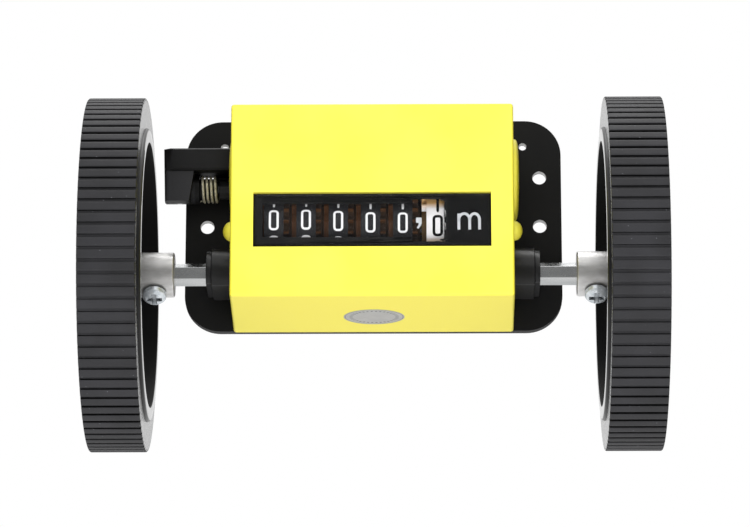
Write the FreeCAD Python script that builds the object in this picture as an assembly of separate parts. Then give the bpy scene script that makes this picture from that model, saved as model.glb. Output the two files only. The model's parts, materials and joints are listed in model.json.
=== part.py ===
# Cable length counter: two measuring wheels on a hexagon axle drive a six-drum counter.
# X runs along the axle, Y from the display in front to the mounting plate behind, Z up.
# The origin is on the axle, midway between the two wheels. Millimetres.
import FreeCAD, Part
import math
import os

Vector = FreeCAD.Vector
FULL_TURN = 2 * math.pi

# Measuring wheels
counted_length = 1000.0
turns_per_length = 3
wheel_radius = counted_length / turns_per_length / FULL_TURN
tyre_width = 17.0
tyre_thickness = 9.0
rib_count = 92
groove_width = 0.9
groove_depth = 0.65
rim_proud = 1.0
rim_thickness = 4.5
outer_dish_depth = 3.0
web_thickness = 3.0
wheel_boss_radius = 10.5
wheel_boss_length = 8.0
hub_radius = 6.75
hub_stand_in = 8.3
hub_end_inset = 3.2
axle_end_inset = 6.0
clamp_setback = 5.8
clamp_radius = 2.0
clamp_head_radius = 3.35
clamp_head_height = 2.4
clamp_head_lift = 0.35
clamp_head_edge = 0.6
clamp_angle = math.radians(66.5)

# Hexagon axle and its bearings
hex_across_flats = 6.0
hex_turn = math.radians(25.5)
hex_clearance = 0.04
sleeve_radius = 5.5
sleeve_end_gap = 0.2
running_gap = 0.05
end_play = 0.1
axle_shown = 10.3
housing_shift = 0.7

# Gear train from the axle to the tenths drum
gear_tooth_depth = 1.64
gear_pressure = math.radians(25)
gear_addendum_share = 0.9
gear_dedendum_share = 1.15
gear_module = gear_tooth_depth / (gear_addendum_share + gear_dedendum_share)
gear_backlash = 0.16
axle_gear_teeth = 16
idler_large_teeth = 24
idler_small_teeth = 12
drum_gear_teeth = 24
axle_gear_width = 3.4
drum_gear_width = 3.6
gear_step = 1.4
gear_hub_radius = 4.0
idler_hub_radius = 3.4

# Counter drums and the transfer pinions between them
black_drums = 5
digits = 10
drum_radius = 12.0
lock_width = 1.4
rim_width = 5.7
ring_width = 1.6
cam_width = 0.7
drum_gap = 0.1
tenths_gap = 0.35
tenths_rim_width = 5.1
tenths_ring_width = 0.6
tenths_hub_length = 1.2
lock_gap = 0.42
segment_inset = 0.3
segment_angle = math.radians(147)
cam_inset = 0.1
cam_low_radius = 5.4
cam_points = 12
shaft_radius = 2.0
drum_axle_gap = 0.98
drum_lean = math.radians(34.85)
transfer_pressure = math.radians(30)
transfer_backlash = 0.2
transfer_root_gap = 0.2
ring_teeth = 20
ring_addendum_share = 0.91
pinion_teeth = 8
pinion_addendum_share = 0.8
pinion_shaft_radius = 1.5
pinion_shaft_gap = 0.3

# Zero reset: comb, shaft, lever and spring
comb_hub_radius = 3.6
comb_back_gap = 1.4
comb_finger_thickness = 0.5
comb_root_width = 4.4
comb_tip_width = 2.0
comb_tip_reach = 0.8
comb_cam_gap = 0.45
reset_shaft_gap = 1.34
reset_travel = math.radians(20)
lever_play = 0.4
lever_thumb_width = 9.2
lever_thumb_taper = 1.5
lever_side_taper = 0.5
lever_bevel_width = 3.0
lever_bevel_depth = 1.6
lever_hub_width = 10.6
lever_hub_radius = 4.4
lever_front = 8.0
lever_bar_thickness = 3.2
lever_thumb_recess = 0.8
lever_thumb_thickness = 3.0
lever_rise = 10.8
lever_bar_height = 6.9
lever_drop = 5.6
lever_cover_gap = 0.15
lever_edge = 0.5
lever_hood_gap = 0.65
lever_plate_gap = 0.35
lever_end_wall = 1.8
lever_pin_radius = 0.75
spring_wire = 0.8
spring_turns = 4
spring_mean_radius = 3.75
spring_pitch = 1.25
spring_leg = 2.6
spring_boss_radius = 2.9
spring_lever_gap = 0.2

# Chassis
left_spacer_length = 3.75
clip_thickness = 0.7
clip_gap = 0.2
bearing_boss_length = 3.9
bearing_boss_start = 0.3
bearing_boss_radius = 8.0
shaft_boss_radius = 3.2
cheek_thickness = 2.4
cheek_ahead = 7.0
cheek_below = 4.0
cheek_corner = 4.0
frame_thickness = 2.4
top_tie_depth = 14.0
tower_radius = 7.8
tower_flat = 5.0
tower_length = 6.6
nose_length = 1.6
nose_inset = 0.8
tower_bore_gap = 0.35
post_radius = 3.2
post_length = 6.0
post_place = 18.0
post_top_gap = 0.8
reset_boss_radius = 3.0
reset_boss_length = 7.2

# Mounting plate
plate_gap = 0.37
plate_thickness = 3.0
plate_margin = 15.3
plate_drop = 14.8
plate_height = 66.5
plate_corner = 11.0
mount_hole_radius = 2.1
mount_hole_inset = 6.6
mount_hole_height = 18.1
mount_hole_pitch = 15.4
small_hole_radius = 1.2
small_hole_inset = 11.6
small_hole_drop = 8.2
plate_screw_radius = 1.45
plate_screw_head_radius = 3.0
plate_screw_head_depth = 1.7
plate_screw_length = 8.0
screw_clearance = 0.1

# Front cover, window bezel and lens
cover_wall = 1.8
cheek_clearance = 0.5
cover_draft = 0.45
cover_front_gap = 4.0
cover_drop = 15.1
cover_rise = 44.1
cover_edge = 0.8
window_margin = 2.4
window_height = 15.9
window_drop = 1.2
slot_gap = 0.3
dome_radius = 12.35
left_dome_height = 1.0
right_dome_height = 1.75
dome_edge = 0.9
dome_back_gap = 0.65
dome_above_reset = 0.75
cover_screw_head_radius = 2.75
cover_screw_head_height = 2.6
cover_screw_edge = 0.9
cover_screw_radius = 1.25
cover_screw_length = 8.0
cover_hole_gap = 0.45
bezel_inset = 0.25
bezel_lip = 2.0
bezel_lip_thickness = 1.0
bezel_setback = 1.2
bezel_wall_gap = 0.1
lens_thickness = 0.9
aperture_drop = 0.95
aperture_height = 10.6
tenths_aperture_height = 13.4
aperture_left_inset = 1.05
tenths_aperture_lead = 2.9
aperture_corner_radius = 0.6
overrun = 1.0

# Numbers of flat faces that stand for a full round
hidden_sides = 10
small_sides = 16
round_sides = 28
wheel_sides = 36
wire_sides = 5

# Radii worked out from the sizes above
rim_radius = wheel_radius - tyre_thickness
dish_radius = rim_radius - rim_thickness
hex_corner = hex_across_flats / 2 / math.cos(math.pi / 6)
sleeve_bore = sleeve_radius + running_gap
shaft_bore = shaft_radius + running_gap


def pitch_radius(teeth, module):
    return teeth * module / 2


def tip_radius(teeth):
    return pitch_radius(teeth, gear_module) + gear_addendum_share * gear_module


def root_radius(teeth):
    return pitch_radius(teeth, gear_module) - gear_dedendum_share * gear_module


def meeting_point(first, first_distance, second, second_distance, side):
    """Point at two given distances from two axes, on the chosen side of the line between them."""
    across = second[0] - first[0]
    up = second[1] - first[1]
    span = math.hypot(across, up)
    along = (first_distance ** 2 - second_distance ** 2 + span ** 2) / (2 * span)
    off = side * math.sqrt(first_distance ** 2 - along ** 2)
    return (
        first[0] + (along * across - off * up) / span,
        first[1] + (along * up + off * across) / span,
    )


def direction(start, end):
    return math.atan2(end[1] - start[1], end[0] - start[0])


def distance(start, end):
    return math.hypot(end[0] - start[0], end[1] - start[1])


def polar(centre, radius, angle):
    return (centre[0] + radius * math.cos(angle), centre[1] + radius * math.sin(angle))


# Transfer gearing, and the rings of the drums that pass the pinions
transfer_module = drum_radius / (ring_teeth / 2 + ring_addendum_share)
transfer_distance = pitch_radius(ring_teeth + pinion_teeth, transfer_module)
pinion_tip = pitch_radius(pinion_teeth, transfer_module) + pinion_addendum_share * transfer_module
pinion_root = transfer_distance - drum_radius - transfer_root_gap
ring_root = transfer_distance - pinion_tip - transfer_root_gap
lock_radius = transfer_distance - pinion_tip - lock_gap
segment_radius = drum_radius - segment_inset
cam_high_radius = lock_radius - cam_inset

# Axes across the mechanism, as (y, z)
axle_axis = (0.0, 0.0)
axle_drum_distance = drum_radius + hex_corner + drum_axle_gap
drum_axis = polar(axle_axis, axle_drum_distance, math.pi - drum_lean)
idler_axis = meeting_point(
    axle_axis,
    pitch_radius(axle_gear_teeth + idler_large_teeth, gear_module),
    drum_axis,
    pitch_radius(idler_small_teeth + drum_gear_teeth, gear_module),
    -1,
)
idler_tip = tip_radius(idler_large_teeth)
pinion_axis = meeting_point(
    drum_axis,
    transfer_distance,
    idler_axis,
    idler_tip + pinion_shaft_radius + pinion_shaft_gap,
    1,
)
plate_face = idler_axis[0] + idler_tip + plate_gap
reset_y = plate_face - comb_hub_radius - comb_back_gap
reset_reach = idler_tip + shaft_radius + reset_shaft_gap
reset_z = idler_axis[1] + math.sqrt(reset_reach ** 2 - (reset_y - idler_axis[0]) ** 2)
reset_axis = (reset_y, reset_z)

# Places along the axle, counted from the middle of the housing
drum_length = lock_width + rim_width + ring_width + cam_width
drum_pitch = drum_length + drum_gap
tenths_length = lock_width + tenths_rim_width + tenths_ring_width + cam_width
stack_length = (
    black_drums * drum_pitch + tenths_gap + tenths_length + tenths_hub_length + drum_gear_width
)
bearing_room = clip_gap + clip_thickness + clip_gap
inside_width = (
    left_spacer_length + stack_length + gear_step + axle_gear_width + bearing_room
    + bearing_boss_length
)
cheek_in = inside_width / 2
cheek_out = cheek_in + cheek_thickness
cover_half = cheek_out + cheek_clearance + cover_wall
tower_end = cover_half + tower_length
nose_end = tower_end + nose_length
stack_left = left_spacer_length - cheek_in
tenths_left = stack_left + black_drums * drum_pitch + tenths_gap
tenths_right = tenths_left + tenths_length
drum_gear_left = tenths_right + tenths_hub_length
drum_gear_right = drum_gear_left + drum_gear_width
train_left = drum_gear_right + gear_step
train_right = train_left + axle_gear_width
sleeve_inner_end = train_right + bearing_room
plate_half = cover_half + plate_margin
hub_inner_end = nose_end + axle_shown
tyre_inner_side = hub_inner_end + hub_stand_in
tyre_outer_side = tyre_inner_side + tyre_width
hub_outer_end = tyre_outer_side - hub_end_inset
spring_boss_length = spring_lever_gap + spring_turns * spring_pitch + spring_wire / 2
lever_hub_right = -(cheek_out + reset_boss_length + lever_play + spring_boss_length)
lever_outer = lever_hub_width - lever_hub_right
cover_front = drum_axis[0] - drum_radius - cover_front_gap
plate_back = plate_face + plate_thickness


def along_x(radius, start, end, axis=axle_axis):
    """Round bar from one place along X to another."""
    return Part.makeCylinder(radius, end - start, Vector(start, axis[0], axis[1]), Vector(1, 0, 0))


def along_y(radius, start, end, x, z):
    return Part.makeCylinder(radius, end - start, Vector(x, start, z), Vector(0, 1, 0))


def faceted(sides, outline, axis=axle_axis):
    """Solid of revolution about X with few faces; its outline is (x, radius) from end to end."""
    turns = [side * FULL_TURN / sides for side in range(sides + 1)]
    rings = [
        [Vector(x, *polar(axis, radius, turn)) for turn in turns] for x, radius in outline
    ]
    faces = [Part.Face(Part.makePolygon(ring)) for ring in (rings[0], rings[-1])]
    for ring, next_ring in zip(rings, rings[1:]):
        for side in range(sides):
            corners = [ring[side], ring[side + 1], next_ring[side + 1], next_ring[side]]
            faces.append(Part.Face(Part.makePolygon(corners + corners[:1])))
    return Part.Solid(Part.makeShell(faces))


def hidden_bar(radius, start, end, axis=axle_axis):
    """Bar inside the housing, whose corners lie on the radius."""
    return faceted(hidden_sides, [(start, radius), (end, radius)], axis)


def hidden_bore(radius, start, end, axis=axle_axis):
    """Bore inside the housing, whose flats lie on the radius."""
    return hidden_bar(radius / math.cos(math.pi / hidden_sides), start, end, axis)


def stood_along_y(shape, x, z):
    """Turn a shape made about the X axis so that it points to the back, at a place."""
    shape.rotate(Vector(0, 0, 0), Vector(0, 0, 1), 90)
    shape.translate(Vector(x, 0, z))
    return shape


def prism(points, start, end):
    """Outline in (y, z), drawn out along X."""
    corners = [Vector(start, y, z) for y, z in points]
    face = Part.Face(Part.makePolygon(corners + corners[:1]))
    return face.extrude(Vector(end - start, 0, 0))


def drawn(points, start, end):
    """Outline in (x, z), drawn out along Y."""
    corners = [Vector(x, start, z) for x, z in points]
    face = Part.Face(Part.makePolygon(corners + corners[:1]))
    return face.extrude(Vector(0, end - start, 0))


def block(x_range, y_range, z_range):
    size = [high - low for low, high in (x_range, y_range, z_range)]
    return Part.makeBox(*size, Vector(x_range[0], y_range[0], z_range[0]))


def rounded_rectangle(x_range, z_range, radius, start, end):
    """Plate with round corners, seen along Y, from one depth to another."""
    shape = block(x_range, (start, end), z_range)
    if radius == 0:
        return shape
    upright = [edge for edge in shape.Edges if abs(edge.tangentAt(0).y) > 0.99]
    return shape.makeFillet(radius, upright)


def hexagon(across_flats, start, end, axis=axle_axis):
    corner = across_flats / 2 / math.cos(math.pi / 6)
    turns = [math.pi - hex_turn + side * math.pi / 3 for side in range(6)]
    return prism([polar(axis, corner, turn) for turn in turns], start, end)


def mirrored(shape):
    return shape.mirror(Vector(0, 0, 0), Vector(1, 0, 0))


def joined(first, *others):
    return first.fuse(list(others)).removeSplitter()


def tooth_half_angle(teeth, module, pressure, backlash, radius):
    """Half of the angle that an involute tooth spans at a given radius."""
    pitch = pitch_radius(teeth, module)
    base = pitch * math.cos(pressure)
    rolled = math.acos(min(1, base / radius))
    opening = (math.tan(pressure) - pressure) - (math.tan(rolled) - rolled)
    return math.pi / 2 / teeth - backlash / 2 / pitch + opening


def tooth_points(centre, middle, halves, radii):
    """Four corners of one tooth, from the root on one side round to the root on the other."""
    root_half, tip_half = halves
    root, tip = radii
    return [
        polar(centre, root, middle - root_half),
        polar(centre, tip, middle - tip_half),
        polar(centre, tip, middle + tip_half),
        polar(centre, root, middle + root_half),
    ]


def toothed_outline(centre, teeth, module, pressure, backlash, radii, phase, every=1):
    """Closed outline of a gear; with every=2 each second tooth is left out."""
    halves = [tooth_half_angle(teeth, module, pressure, backlash, radius) for radius in radii]
    points = []
    for index in range(teeth):
        middle = phase + index * FULL_TURN / teeth
        if index % every == 0:
            points += tooth_points(centre, middle, halves, radii)
        else:
            points.append(polar(centre, radii[0], middle))
    return points


def meshing_phase(phase, teeth, centre, other_centre, other_teeth):
    """Angle of a tooth of the other gear so that its teeth meet the gaps of the first."""
    line = direction(centre, other_centre)
    share = (line - phase) * teeth / FULL_TURN
    other_share = 1 / 2 - share
    return line + math.pi - other_share * FULL_TURN / other_teeth


def train_gear(centre, teeth, phase, start, end):
    radii = (root_radius(teeth), tip_radius(teeth))
    outline = toothed_outline(
        centre, teeth, gear_module, gear_pressure, gear_backlash, radii, phase
    )
    return prism(outline, start, end)


axle_gear_phase = 0.0
idler_large_phase = meshing_phase(
    axle_gear_phase, axle_gear_teeth, axle_axis, idler_axis, idler_large_teeth
)
drum_gear_phase = 0.0
idler_small_phase = meshing_phase(
    drum_gear_phase, drum_gear_teeth, drum_axis, idler_axis, idler_small_teeth
)

# The two-tooth segment passes the pinion when the pinion shows a gap between two long teeth.
pinion_line = direction(drum_axis, pinion_axis)
pinion_lag = (pinion_line - segment_angle) * ring_teeth / pinion_teeth / digits
pinion_phase = pinion_line + math.pi - FULL_TURN / pinion_teeth + pinion_lag
ring_phase = meshing_phase(pinion_phase, pinion_teeth, pinion_axis, drum_axis, ring_teeth)


# Measuring wheels, built at the right and mirrored to the left
def tyre():
    """Rubber ring with a groove across the tread between each two ribs."""
    points = []
    half_groove = groove_width / 2 / wheel_radius
    for rib in range(rib_count):
        middle = rib * FULL_TURN / rib_count
        points.append(polar(axle_axis, wheel_radius, middle - half_groove))
        points.append(polar(axle_axis, wheel_radius - groove_depth, middle))
        points.append(polar(axle_axis, wheel_radius, middle + half_groove))
    tread = prism(points, tyre_inner_side, tyre_outer_side)
    return tread.cut(wheel_round(rim_radius, tyre_inner_side - overrun, tyre_outer_side + overrun))


def wheel_round(radius, start, end):
    return faceted(wheel_sides, [(start, radius), (end, radius)])


def wheel_disc():
    """Moulded wheel: rim, deep dish on the inner side, web, boss and shallow outer dish."""
    rim_face = tyre_inner_side - rim_proud
    outer_web = tyre_outer_side - outer_dish_depth
    inner_web = outer_web - web_thickness
    boss_face = inner_web - wheel_boss_length
    rim = wheel_round(rim_radius, rim_face, tyre_outer_side)
    dishes = [
        wheel_round(dish_radius, rim_face - overrun, inner_web),
        wheel_round(dish_radius, outer_web, tyre_outer_side + overrun),
    ]
    boss = faceted(small_sides, [(boss_face, wheel_boss_radius), (inner_web, wheel_boss_radius)])
    bore = along_x(hub_radius, boss_face - overrun, outer_web + overrun)
    return joined(rim.cut(dishes), boss).cut(bore)


def turned_down(shape):
    """Turn a shape made pointing to the front so that it points along the clamp screw."""
    shape.rotate(Vector(0, 0, 0), Vector(1, 0, 0), math.degrees(clamp_angle))
    return shape


def clamp_place():
    return hub_inner_end + clamp_setback


def hub():
    """Metal collar that the clamp screw pins to the hexagon axle."""
    body = along_x(hub_radius, hub_inner_end, hub_outer_end)
    bore = hexagon(hex_across_flats + hex_clearance, hub_inner_end - overrun, hub_outer_end + overrun)
    round_hole = hidden_bar(clamp_radius + screw_clearance, -hub_radius - overrun, 0)
    hole = stood_along_y(round_hole, clamp_place(), 0)
    return body.cut(bore).cut(turned_down(hole))


def clamp_screw():
    seat = -hub_radius - clamp_head_lift
    top = seat - clamp_head_height
    head = faceted(small_sides, [
        (top, clamp_head_radius - clamp_head_edge),
        (top + clamp_head_edge, clamp_head_radius),
        (seat, clamp_head_radius),
    ])
    shank = hidden_bar(clamp_radius, seat, -hex_corner)
    return turned_down(stood_along_y(joined(head, shank), clamp_place(), 0))


# Axle
def main_axle():
    """Hexagon bar with a groove for each retaining clip."""
    end = tyre_outer_side - axle_end_inset
    bar = hexagon(hex_across_flats, -end, end)
    for start in clip_places():
        ring = hidden_bar(hex_corner + overrun, start, start + clip_thickness)
        core = hidden_bar(clip_seat_radius(), start - overrun, start + clip_thickness + overrun)
        bar = bar.cut(ring.cut(core))
    return bar


def clip_seat_radius():
    return hex_across_flats / 2 - clip_gap * 2


def clip_places():
    """Left ends of the three clip grooves, in the axle's own places along X."""
    right = train_right + clip_gap - housing_shift
    gear_side = train_left - clip_gap - clip_thickness - housing_shift
    left = -sleeve_inner_end + clip_gap - housing_shift
    return (left, gear_side, right)


def open_clip(seat, outer, start, end, axis=axle_axis):
    """Spring steel ring with one gap, pushed into its groove from the side."""
    ring = hidden_bar(outer, start, end, axis).cut(hidden_bore(seat, start - overrun, end + overrun, axis))
    half_gap = seat * 2 / 3
    gap = block(
        (start - overrun, end + overrun),
        (axis[0] - half_gap, axis[0] + half_gap),
        (axis[1] - outer - overrun, axis[1]),
    )
    return ring.cut(gap)


def axle_clips():
    outer = sleeve_radius - clip_gap
    seat = clip_seat_radius() + running_gap
    slack = running_gap
    return [
        open_clip(seat, outer, start + slack, start + clip_thickness - slack)
        for start in clip_places()
    ]


def bearing_sleeve():
    """Plastic journal: hexagon bore, round outside, turning in the chassis boss."""
    body = faceted(small_sides, [
        (sleeve_inner_end, sleeve_radius),
        (cheek_out - sleeve_end_gap, sleeve_radius),
    ])
    bore = hexagon(hex_across_flats + hex_clearance, sleeve_inner_end - overrun, cheek_out + overrun)
    return body.cut(bore)


def axle_gear():
    gear = train_gear(axle_axis, axle_gear_teeth, axle_gear_phase, train_left, train_right)
    bore = hexagon(hex_across_flats + hex_clearance, train_left - overrun, train_right + overrun)
    return gear.cut(bore)


# Idler between the axle and the tenths drum
def idler_gear():
    small = train_gear(
        idler_axis, idler_small_teeth, idler_small_phase, drum_gear_left, drum_gear_right
    )
    large = train_gear(idler_axis, idler_large_teeth, idler_large_phase, train_left, train_right)
    neck = hidden_bar(root_radius(idler_small_teeth), drum_gear_left, train_right, idler_axis)
    hub_end = cheek_in - clip_gap
    tail = hidden_bar(idler_hub_radius, train_right, hub_end, idler_axis)
    bore = hidden_bore(shaft_bore, drum_gear_left - overrun, hub_end + overrun, idler_axis)
    return joined(small, neck, large, tail).cut(bore)


def stud_end():
    return drum_gear_left - clip_gap - clip_thickness - end_play


def idler_stud():
    stud = along_x(shaft_radius, stud_end(), cheek_out, idler_axis)
    start = stud_end() + end_play
    ring = hidden_bar(shaft_radius + overrun, start, start + clip_thickness - end_play, idler_axis)
    core = hidden_bar(shaft_radius - clip_gap * 2, start - overrun, cheek_in, idler_axis)
    return stud.cut(ring.cut(core))


def idler_clip():
    start = stud_end() + end_play
    seat = shaft_radius - clip_gap * 2 + running_gap
    end = start + clip_thickness - end_play
    return open_clip(seat, idler_hub_radius, start + running_gap, end - running_gap, idler_axis)


# Counter drums
def heart_outline():
    """Heart cam: low on one side, rising alike both ways to the high point opposite."""
    points = []
    for index in range(cam_points):
        share = abs(2 * index / cam_points - 1)
        angle = segment_angle + index * FULL_TURN / cam_points
        points.append(polar(drum_axis, cam_low_radius + (cam_high_radius - cam_low_radius) * share, angle))
    return points


def segment_teeth(start, end):
    """Two carry teeth that stand on the lock ring."""
    radii = (lock_radius - cam_width, segment_radius)
    halves = [
        tooth_half_angle(ring_teeth, transfer_module, transfer_pressure, transfer_backlash, radius)
        for radius in radii
    ]
    step = FULL_TURN / ring_teeth / 2
    return [
        prism(tooth_points(drum_axis, segment_angle + side * step, halves, radii), start, end)
        for side in (-1, 1)
    ]


def drum(left, rim, ring):
    """One counter drum: lock ring with carry teeth, rim, toothed ring and heart cam."""
    rim_left = left + lock_width
    ring_left = rim_left + rim
    cam_left = ring_left + ring
    right = cam_left + cam_width
    lock = hidden_bar(lock_radius, left, rim_left, drum_axis)
    band = faceted(round_sides, [(rim_left, drum_radius), (ring_left, drum_radius)], drum_axis)
    outline = toothed_outline(
        drum_axis, ring_teeth, transfer_module, transfer_pressure, transfer_backlash,
        (ring_root, drum_radius), ring_phase,
    )
    teeth = prism(outline, ring_left, cam_left)
    cam = prism(heart_outline(), cam_left, right)
    body = joined(lock, band, teeth, cam, *segment_teeth(left, rim_left))
    bore = hidden_bore(shaft_bore, left - overrun, right + overrun, drum_axis)
    return body.cut(bore)


def black_drum(place):
    return drum(stack_left + place * drum_pitch, rim_width, ring_width)


def tenths_drum():
    return drum(tenths_left, tenths_rim_width, tenths_ring_width)


def tenths_gear():
    gear = train_gear(
        drum_axis, drum_gear_teeth, drum_gear_phase, drum_gear_left, drum_gear_right
    )
    neck = hidden_bar(gear_hub_radius, tenths_right, drum_gear_left, drum_axis)
    bore = hidden_bore(shaft_bore, tenths_right - overrun, drum_gear_right + overrun, drum_axis)
    return joined(gear, neck).cut(bore)


def drum_shaft():
    """Fixed shaft between the cheeks, tapped at both ends for the cover screws."""
    shaft = along_x(shaft_radius, -cheek_out, cheek_out, drum_axis)
    depth = cover_screw_length
    hole = hidden_bore(cover_screw_radius + running_gap, cheek_out - depth, cheek_out + overrun, drum_axis)
    return shaft.cut(hole).cut(mirrored(hole))


# Transfer pinions
def pinion_ends(place):
    """Where the pinion between two neighbouring drums starts, changes width and ends."""
    left = stack_left + place * drum_pitch
    next_left = left + drum_pitch
    if place == black_drums - 1:
        next_left = tenths_left
    full_left = left + lock_width + rim_width + end_play
    full_right = left + lock_width + rim_width + ring_width
    return full_left, full_right, next_left + lock_width - end_play


def transfer_pinion(place):
    """Eight teeth beside the toothed ring; only four of them reach over the lock ring."""
    start, change, end = pinion_ends(place)
    radii = (pinion_root, pinion_tip)
    full = toothed_outline(
        pinion_axis, pinion_teeth, transfer_module, transfer_pressure, transfer_backlash,
        radii, pinion_phase,
    )
    sparse = toothed_outline(
        pinion_axis, pinion_teeth, transfer_module, transfer_pressure, transfer_backlash,
        radii, pinion_phase, 2,
    )
    body = joined(prism(full, start, change), prism(sparse, change, end))
    bore = hidden_bore(pinion_shaft_radius + running_gap, start - overrun, end + overrun, pinion_axis)
    return body.cut(bore)


def pinion_shaft():
    """Fixed shaft; the rims of the drums keep the pinions in their places on it."""
    return along_x(pinion_shaft_radius, -cheek_out, cheek_out, pinion_axis)


# Zero reset
def finger_places():
    """Left side of each comb finger, centred beside the cam that it meets."""
    slack = (cam_width - comb_finger_thickness) / 2
    places = [
        stack_left + place * drum_pitch + drum_length - cam_width for place in range(black_drums)
    ]
    places.append(tenths_right - cam_width)
    return [place + slack for place in places]


def comb_finger_angle():
    """Rest direction of the fingers: one lever travel short of the cams' high points."""
    span = distance(reset_axis, drum_axis)
    clear = cam_high_radius + comb_cam_gap + comb_tip_width / 2
    aim = direction(reset_axis, drum_axis) + math.asin(clear / span)
    return aim + reset_travel


def comb_reach():
    clear = cam_high_radius + comb_cam_gap + comb_tip_width / 2
    return math.sqrt(distance(reset_axis, drum_axis) ** 2 - clear ** 2) + comb_tip_reach


def comb_finger(left):
    angle = comb_finger_angle()
    side = angle + math.pi / 2
    tip = polar(reset_axis, comb_reach(), angle)
    outline = [
        polar(reset_axis, -comb_root_width / 2, side),
        polar(reset_axis, comb_root_width / 2, side),
        polar(tip, comb_tip_width / 2, side),
        polar(tip, -comb_tip_width / 2, side),
    ]
    return prism(outline, left, left + comb_finger_thickness)


def reset_comb():
    """Tube on the reset shaft with one finger for each drum's heart cam."""
    start = -cheek_in + end_play
    end = tenths_right + end_play
    hub_tube = hidden_bar(comb_hub_radius, start, end, reset_axis)
    bore = hidden_bore(shaft_bore, start - overrun, end + overrun, reset_axis)
    return joined(hub_tube, *[comb_finger(left) for left in finger_places()]).cut(bore)


def lever_bar_z():
    top = reset_axis[1] + lever_rise
    return top - lever_bar_height, top


def hood_back(z):
    """How far back the hood may reach at a height and still clear the plate when pressed."""
    room = plate_face - reset_axis[0] - lever_plate_gap
    up = z - reset_axis[1]
    return reset_axis[0] + (room - up * math.sin(reset_travel)) / math.cos(reset_travel)


def lever_bar():
    """Bar with a hood that runs back over the spring."""
    front = reset_axis[0] - lever_front
    bottom, top = lever_bar_z()
    hood_z = reset_axis[1] + spring_mean_radius + spring_wire / 2 + lever_hood_gap
    right = -(cover_half_at(dome_axis()[0]) + left_dome_height + lever_cover_gap)
    return prism([
        (front, bottom + lever_edge),
        (front, top - lever_edge),
        (front + lever_edge, top),
        (hood_back(top), top),
        (hood_back(hood_z), hood_z),
        (reset_axis[0], hood_z),
        (front + lever_bar_thickness, bottom),
        (front + lever_edge, bottom),
    ], -lever_outer, right)


def lever_thumb():
    """Thumb face that narrows downwards and runs back into the hub."""
    front = reset_axis[0] - lever_front + lever_thumb_recess
    low = reset_axis[1] - lever_drop
    top = lever_bar_z()[0] + lever_edge
    side_view = prism([
        (front, low),
        (front, top),
        (reset_axis[0], reset_axis[1] + lever_hub_radius),
        (reset_axis[0], reset_axis[1] - lever_hub_radius),
        (front + lever_thumb_thickness, low),
    ], -lever_outer, lever_thumb_width - lever_outer)
    right = lever_thumb_width - lever_outer
    taper = drawn([
        (right + overrun, low - overrun), (right - lever_thumb_taper, low - overrun),
        (right - lever_thumb_taper, low), (right, top), (right + overrun, top),
    ], front - overrun, reset_axis[0] + overrun)
    return side_view.cut(taper)


def lever_trims():
    """What is cut off the outer end: a bevel beside the thumb and a slight slope."""
    front = reset_axis[0] - lever_front
    low = reset_axis[1] - lever_drop - overrun
    high = lever_bar_z()[1] + overrun
    outer = -lever_outer
    across = lever_bevel_width
    deep = lever_bevel_depth
    corners = [
        Vector(outer - across, front + deep * 2, low),
        Vector(outer + across * 2, front - deep, low),
        Vector(outer - across, front - deep, low),
    ]
    bevel = Part.Face(Part.makePolygon(corners + corners[:1])).extrude(Vector(0, 0, high - low))
    slope = drawn([
        (outer - overrun, high), (outer, high), (outer + lever_side_taper, low),
        (outer - overrun, low),
    ], front - overrun, plate_face)
    return [bevel, slope]


def reset_lever():
    """Thumb lever: upright thumb face, hub on the shaft and a hooded bar across the top."""
    bar = lever_bar()
    thumb = lever_thumb()
    boss_right = lever_hub_right + spring_boss_length
    round_hub = faceted(small_sides, [
        (-lever_outer, lever_hub_radius),
        (lever_hub_right, lever_hub_radius),
    ], reset_axis)
    spring_boss = hidden_bar(spring_boss_radius, lever_hub_right - overrun, boss_right, reset_axis)
    shaft_hole = hidden_bore(shaft_bore, -lever_outer + lever_end_wall, -cheek_out, reset_axis)
    body = joined(bar, thumb, round_hub, spring_boss).cut(lever_trims() + [shaft_hole])
    return body.cut(lever_pin_bar(running_gap))


def lever_pin_bar(extra):
    """Cross pin through the lever hub and the shaft, seen along Z."""
    x = lever_thumb_width / 2 - lever_outer
    length = lever_hub_radius * 2 + extra
    bar = hidden_bar(lever_pin_radius + extra, -length / 2, length / 2)
    bar.rotate(Vector(0, 0, 0), Vector(0, 1, 0), 90)
    bar.translate(Vector(x, *reset_axis))
    return bar


def reset_shaft():
    closed_end = -lever_outer + lever_end_wall + end_play
    bar = along_x(shaft_radius, closed_end, cheek_out, reset_axis)
    return bar.cut(lever_pin_bar(running_gap))


def biarc(start, start_way, end, end_way):
    """Two arcs that leave the start and reach the end in given directions."""
    gap = end - start
    ways = start_way + end_way
    spread = 2 * (1 - start_way.dot(end_way))
    reach = (math.sqrt(gap.dot(ways) ** 2 + spread * gap.dot(gap)) - gap.dot(ways)) / spread
    middle = (start + end + (start_way - end_way) * reach) / 2
    return [
        leg_arc(start, start + start_way * reach, middle),
        leg_arc(middle, end - end_way * reach, end),
    ]


def leg_arc(start, corner, end):
    """Arc that touches both legs of a corner at its two ends."""
    chord_middle = (start + end) / 2
    half_chord = (end - start).Length / 2
    rise = corner - chord_middle
    half_turn = math.atan2(rise.Length, half_chord)
    crown = chord_middle + rise.normalize() * (half_chord * math.tan(half_turn / 2))
    return Part.Arc(start, crown, end).toShape()


def coil_point(turn_share):
    """Point on the coil and its direction there, after a share of all turns from the back."""
    angle = turn_share * spring_turns * FULL_TURN
    x = spring_left() + turn_share * spring_turns * spring_pitch
    y, z = polar(reset_axis, spring_mean_radius, angle)
    around = spring_mean_radius * FULL_TURN
    way = Vector(spring_pitch, -around * math.sin(angle), around * math.cos(angle))
    return Vector(x, y, z), way.normalize()


def spring_left():
    return lever_hub_right + spring_lever_gap + spring_wire / 2


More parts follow.
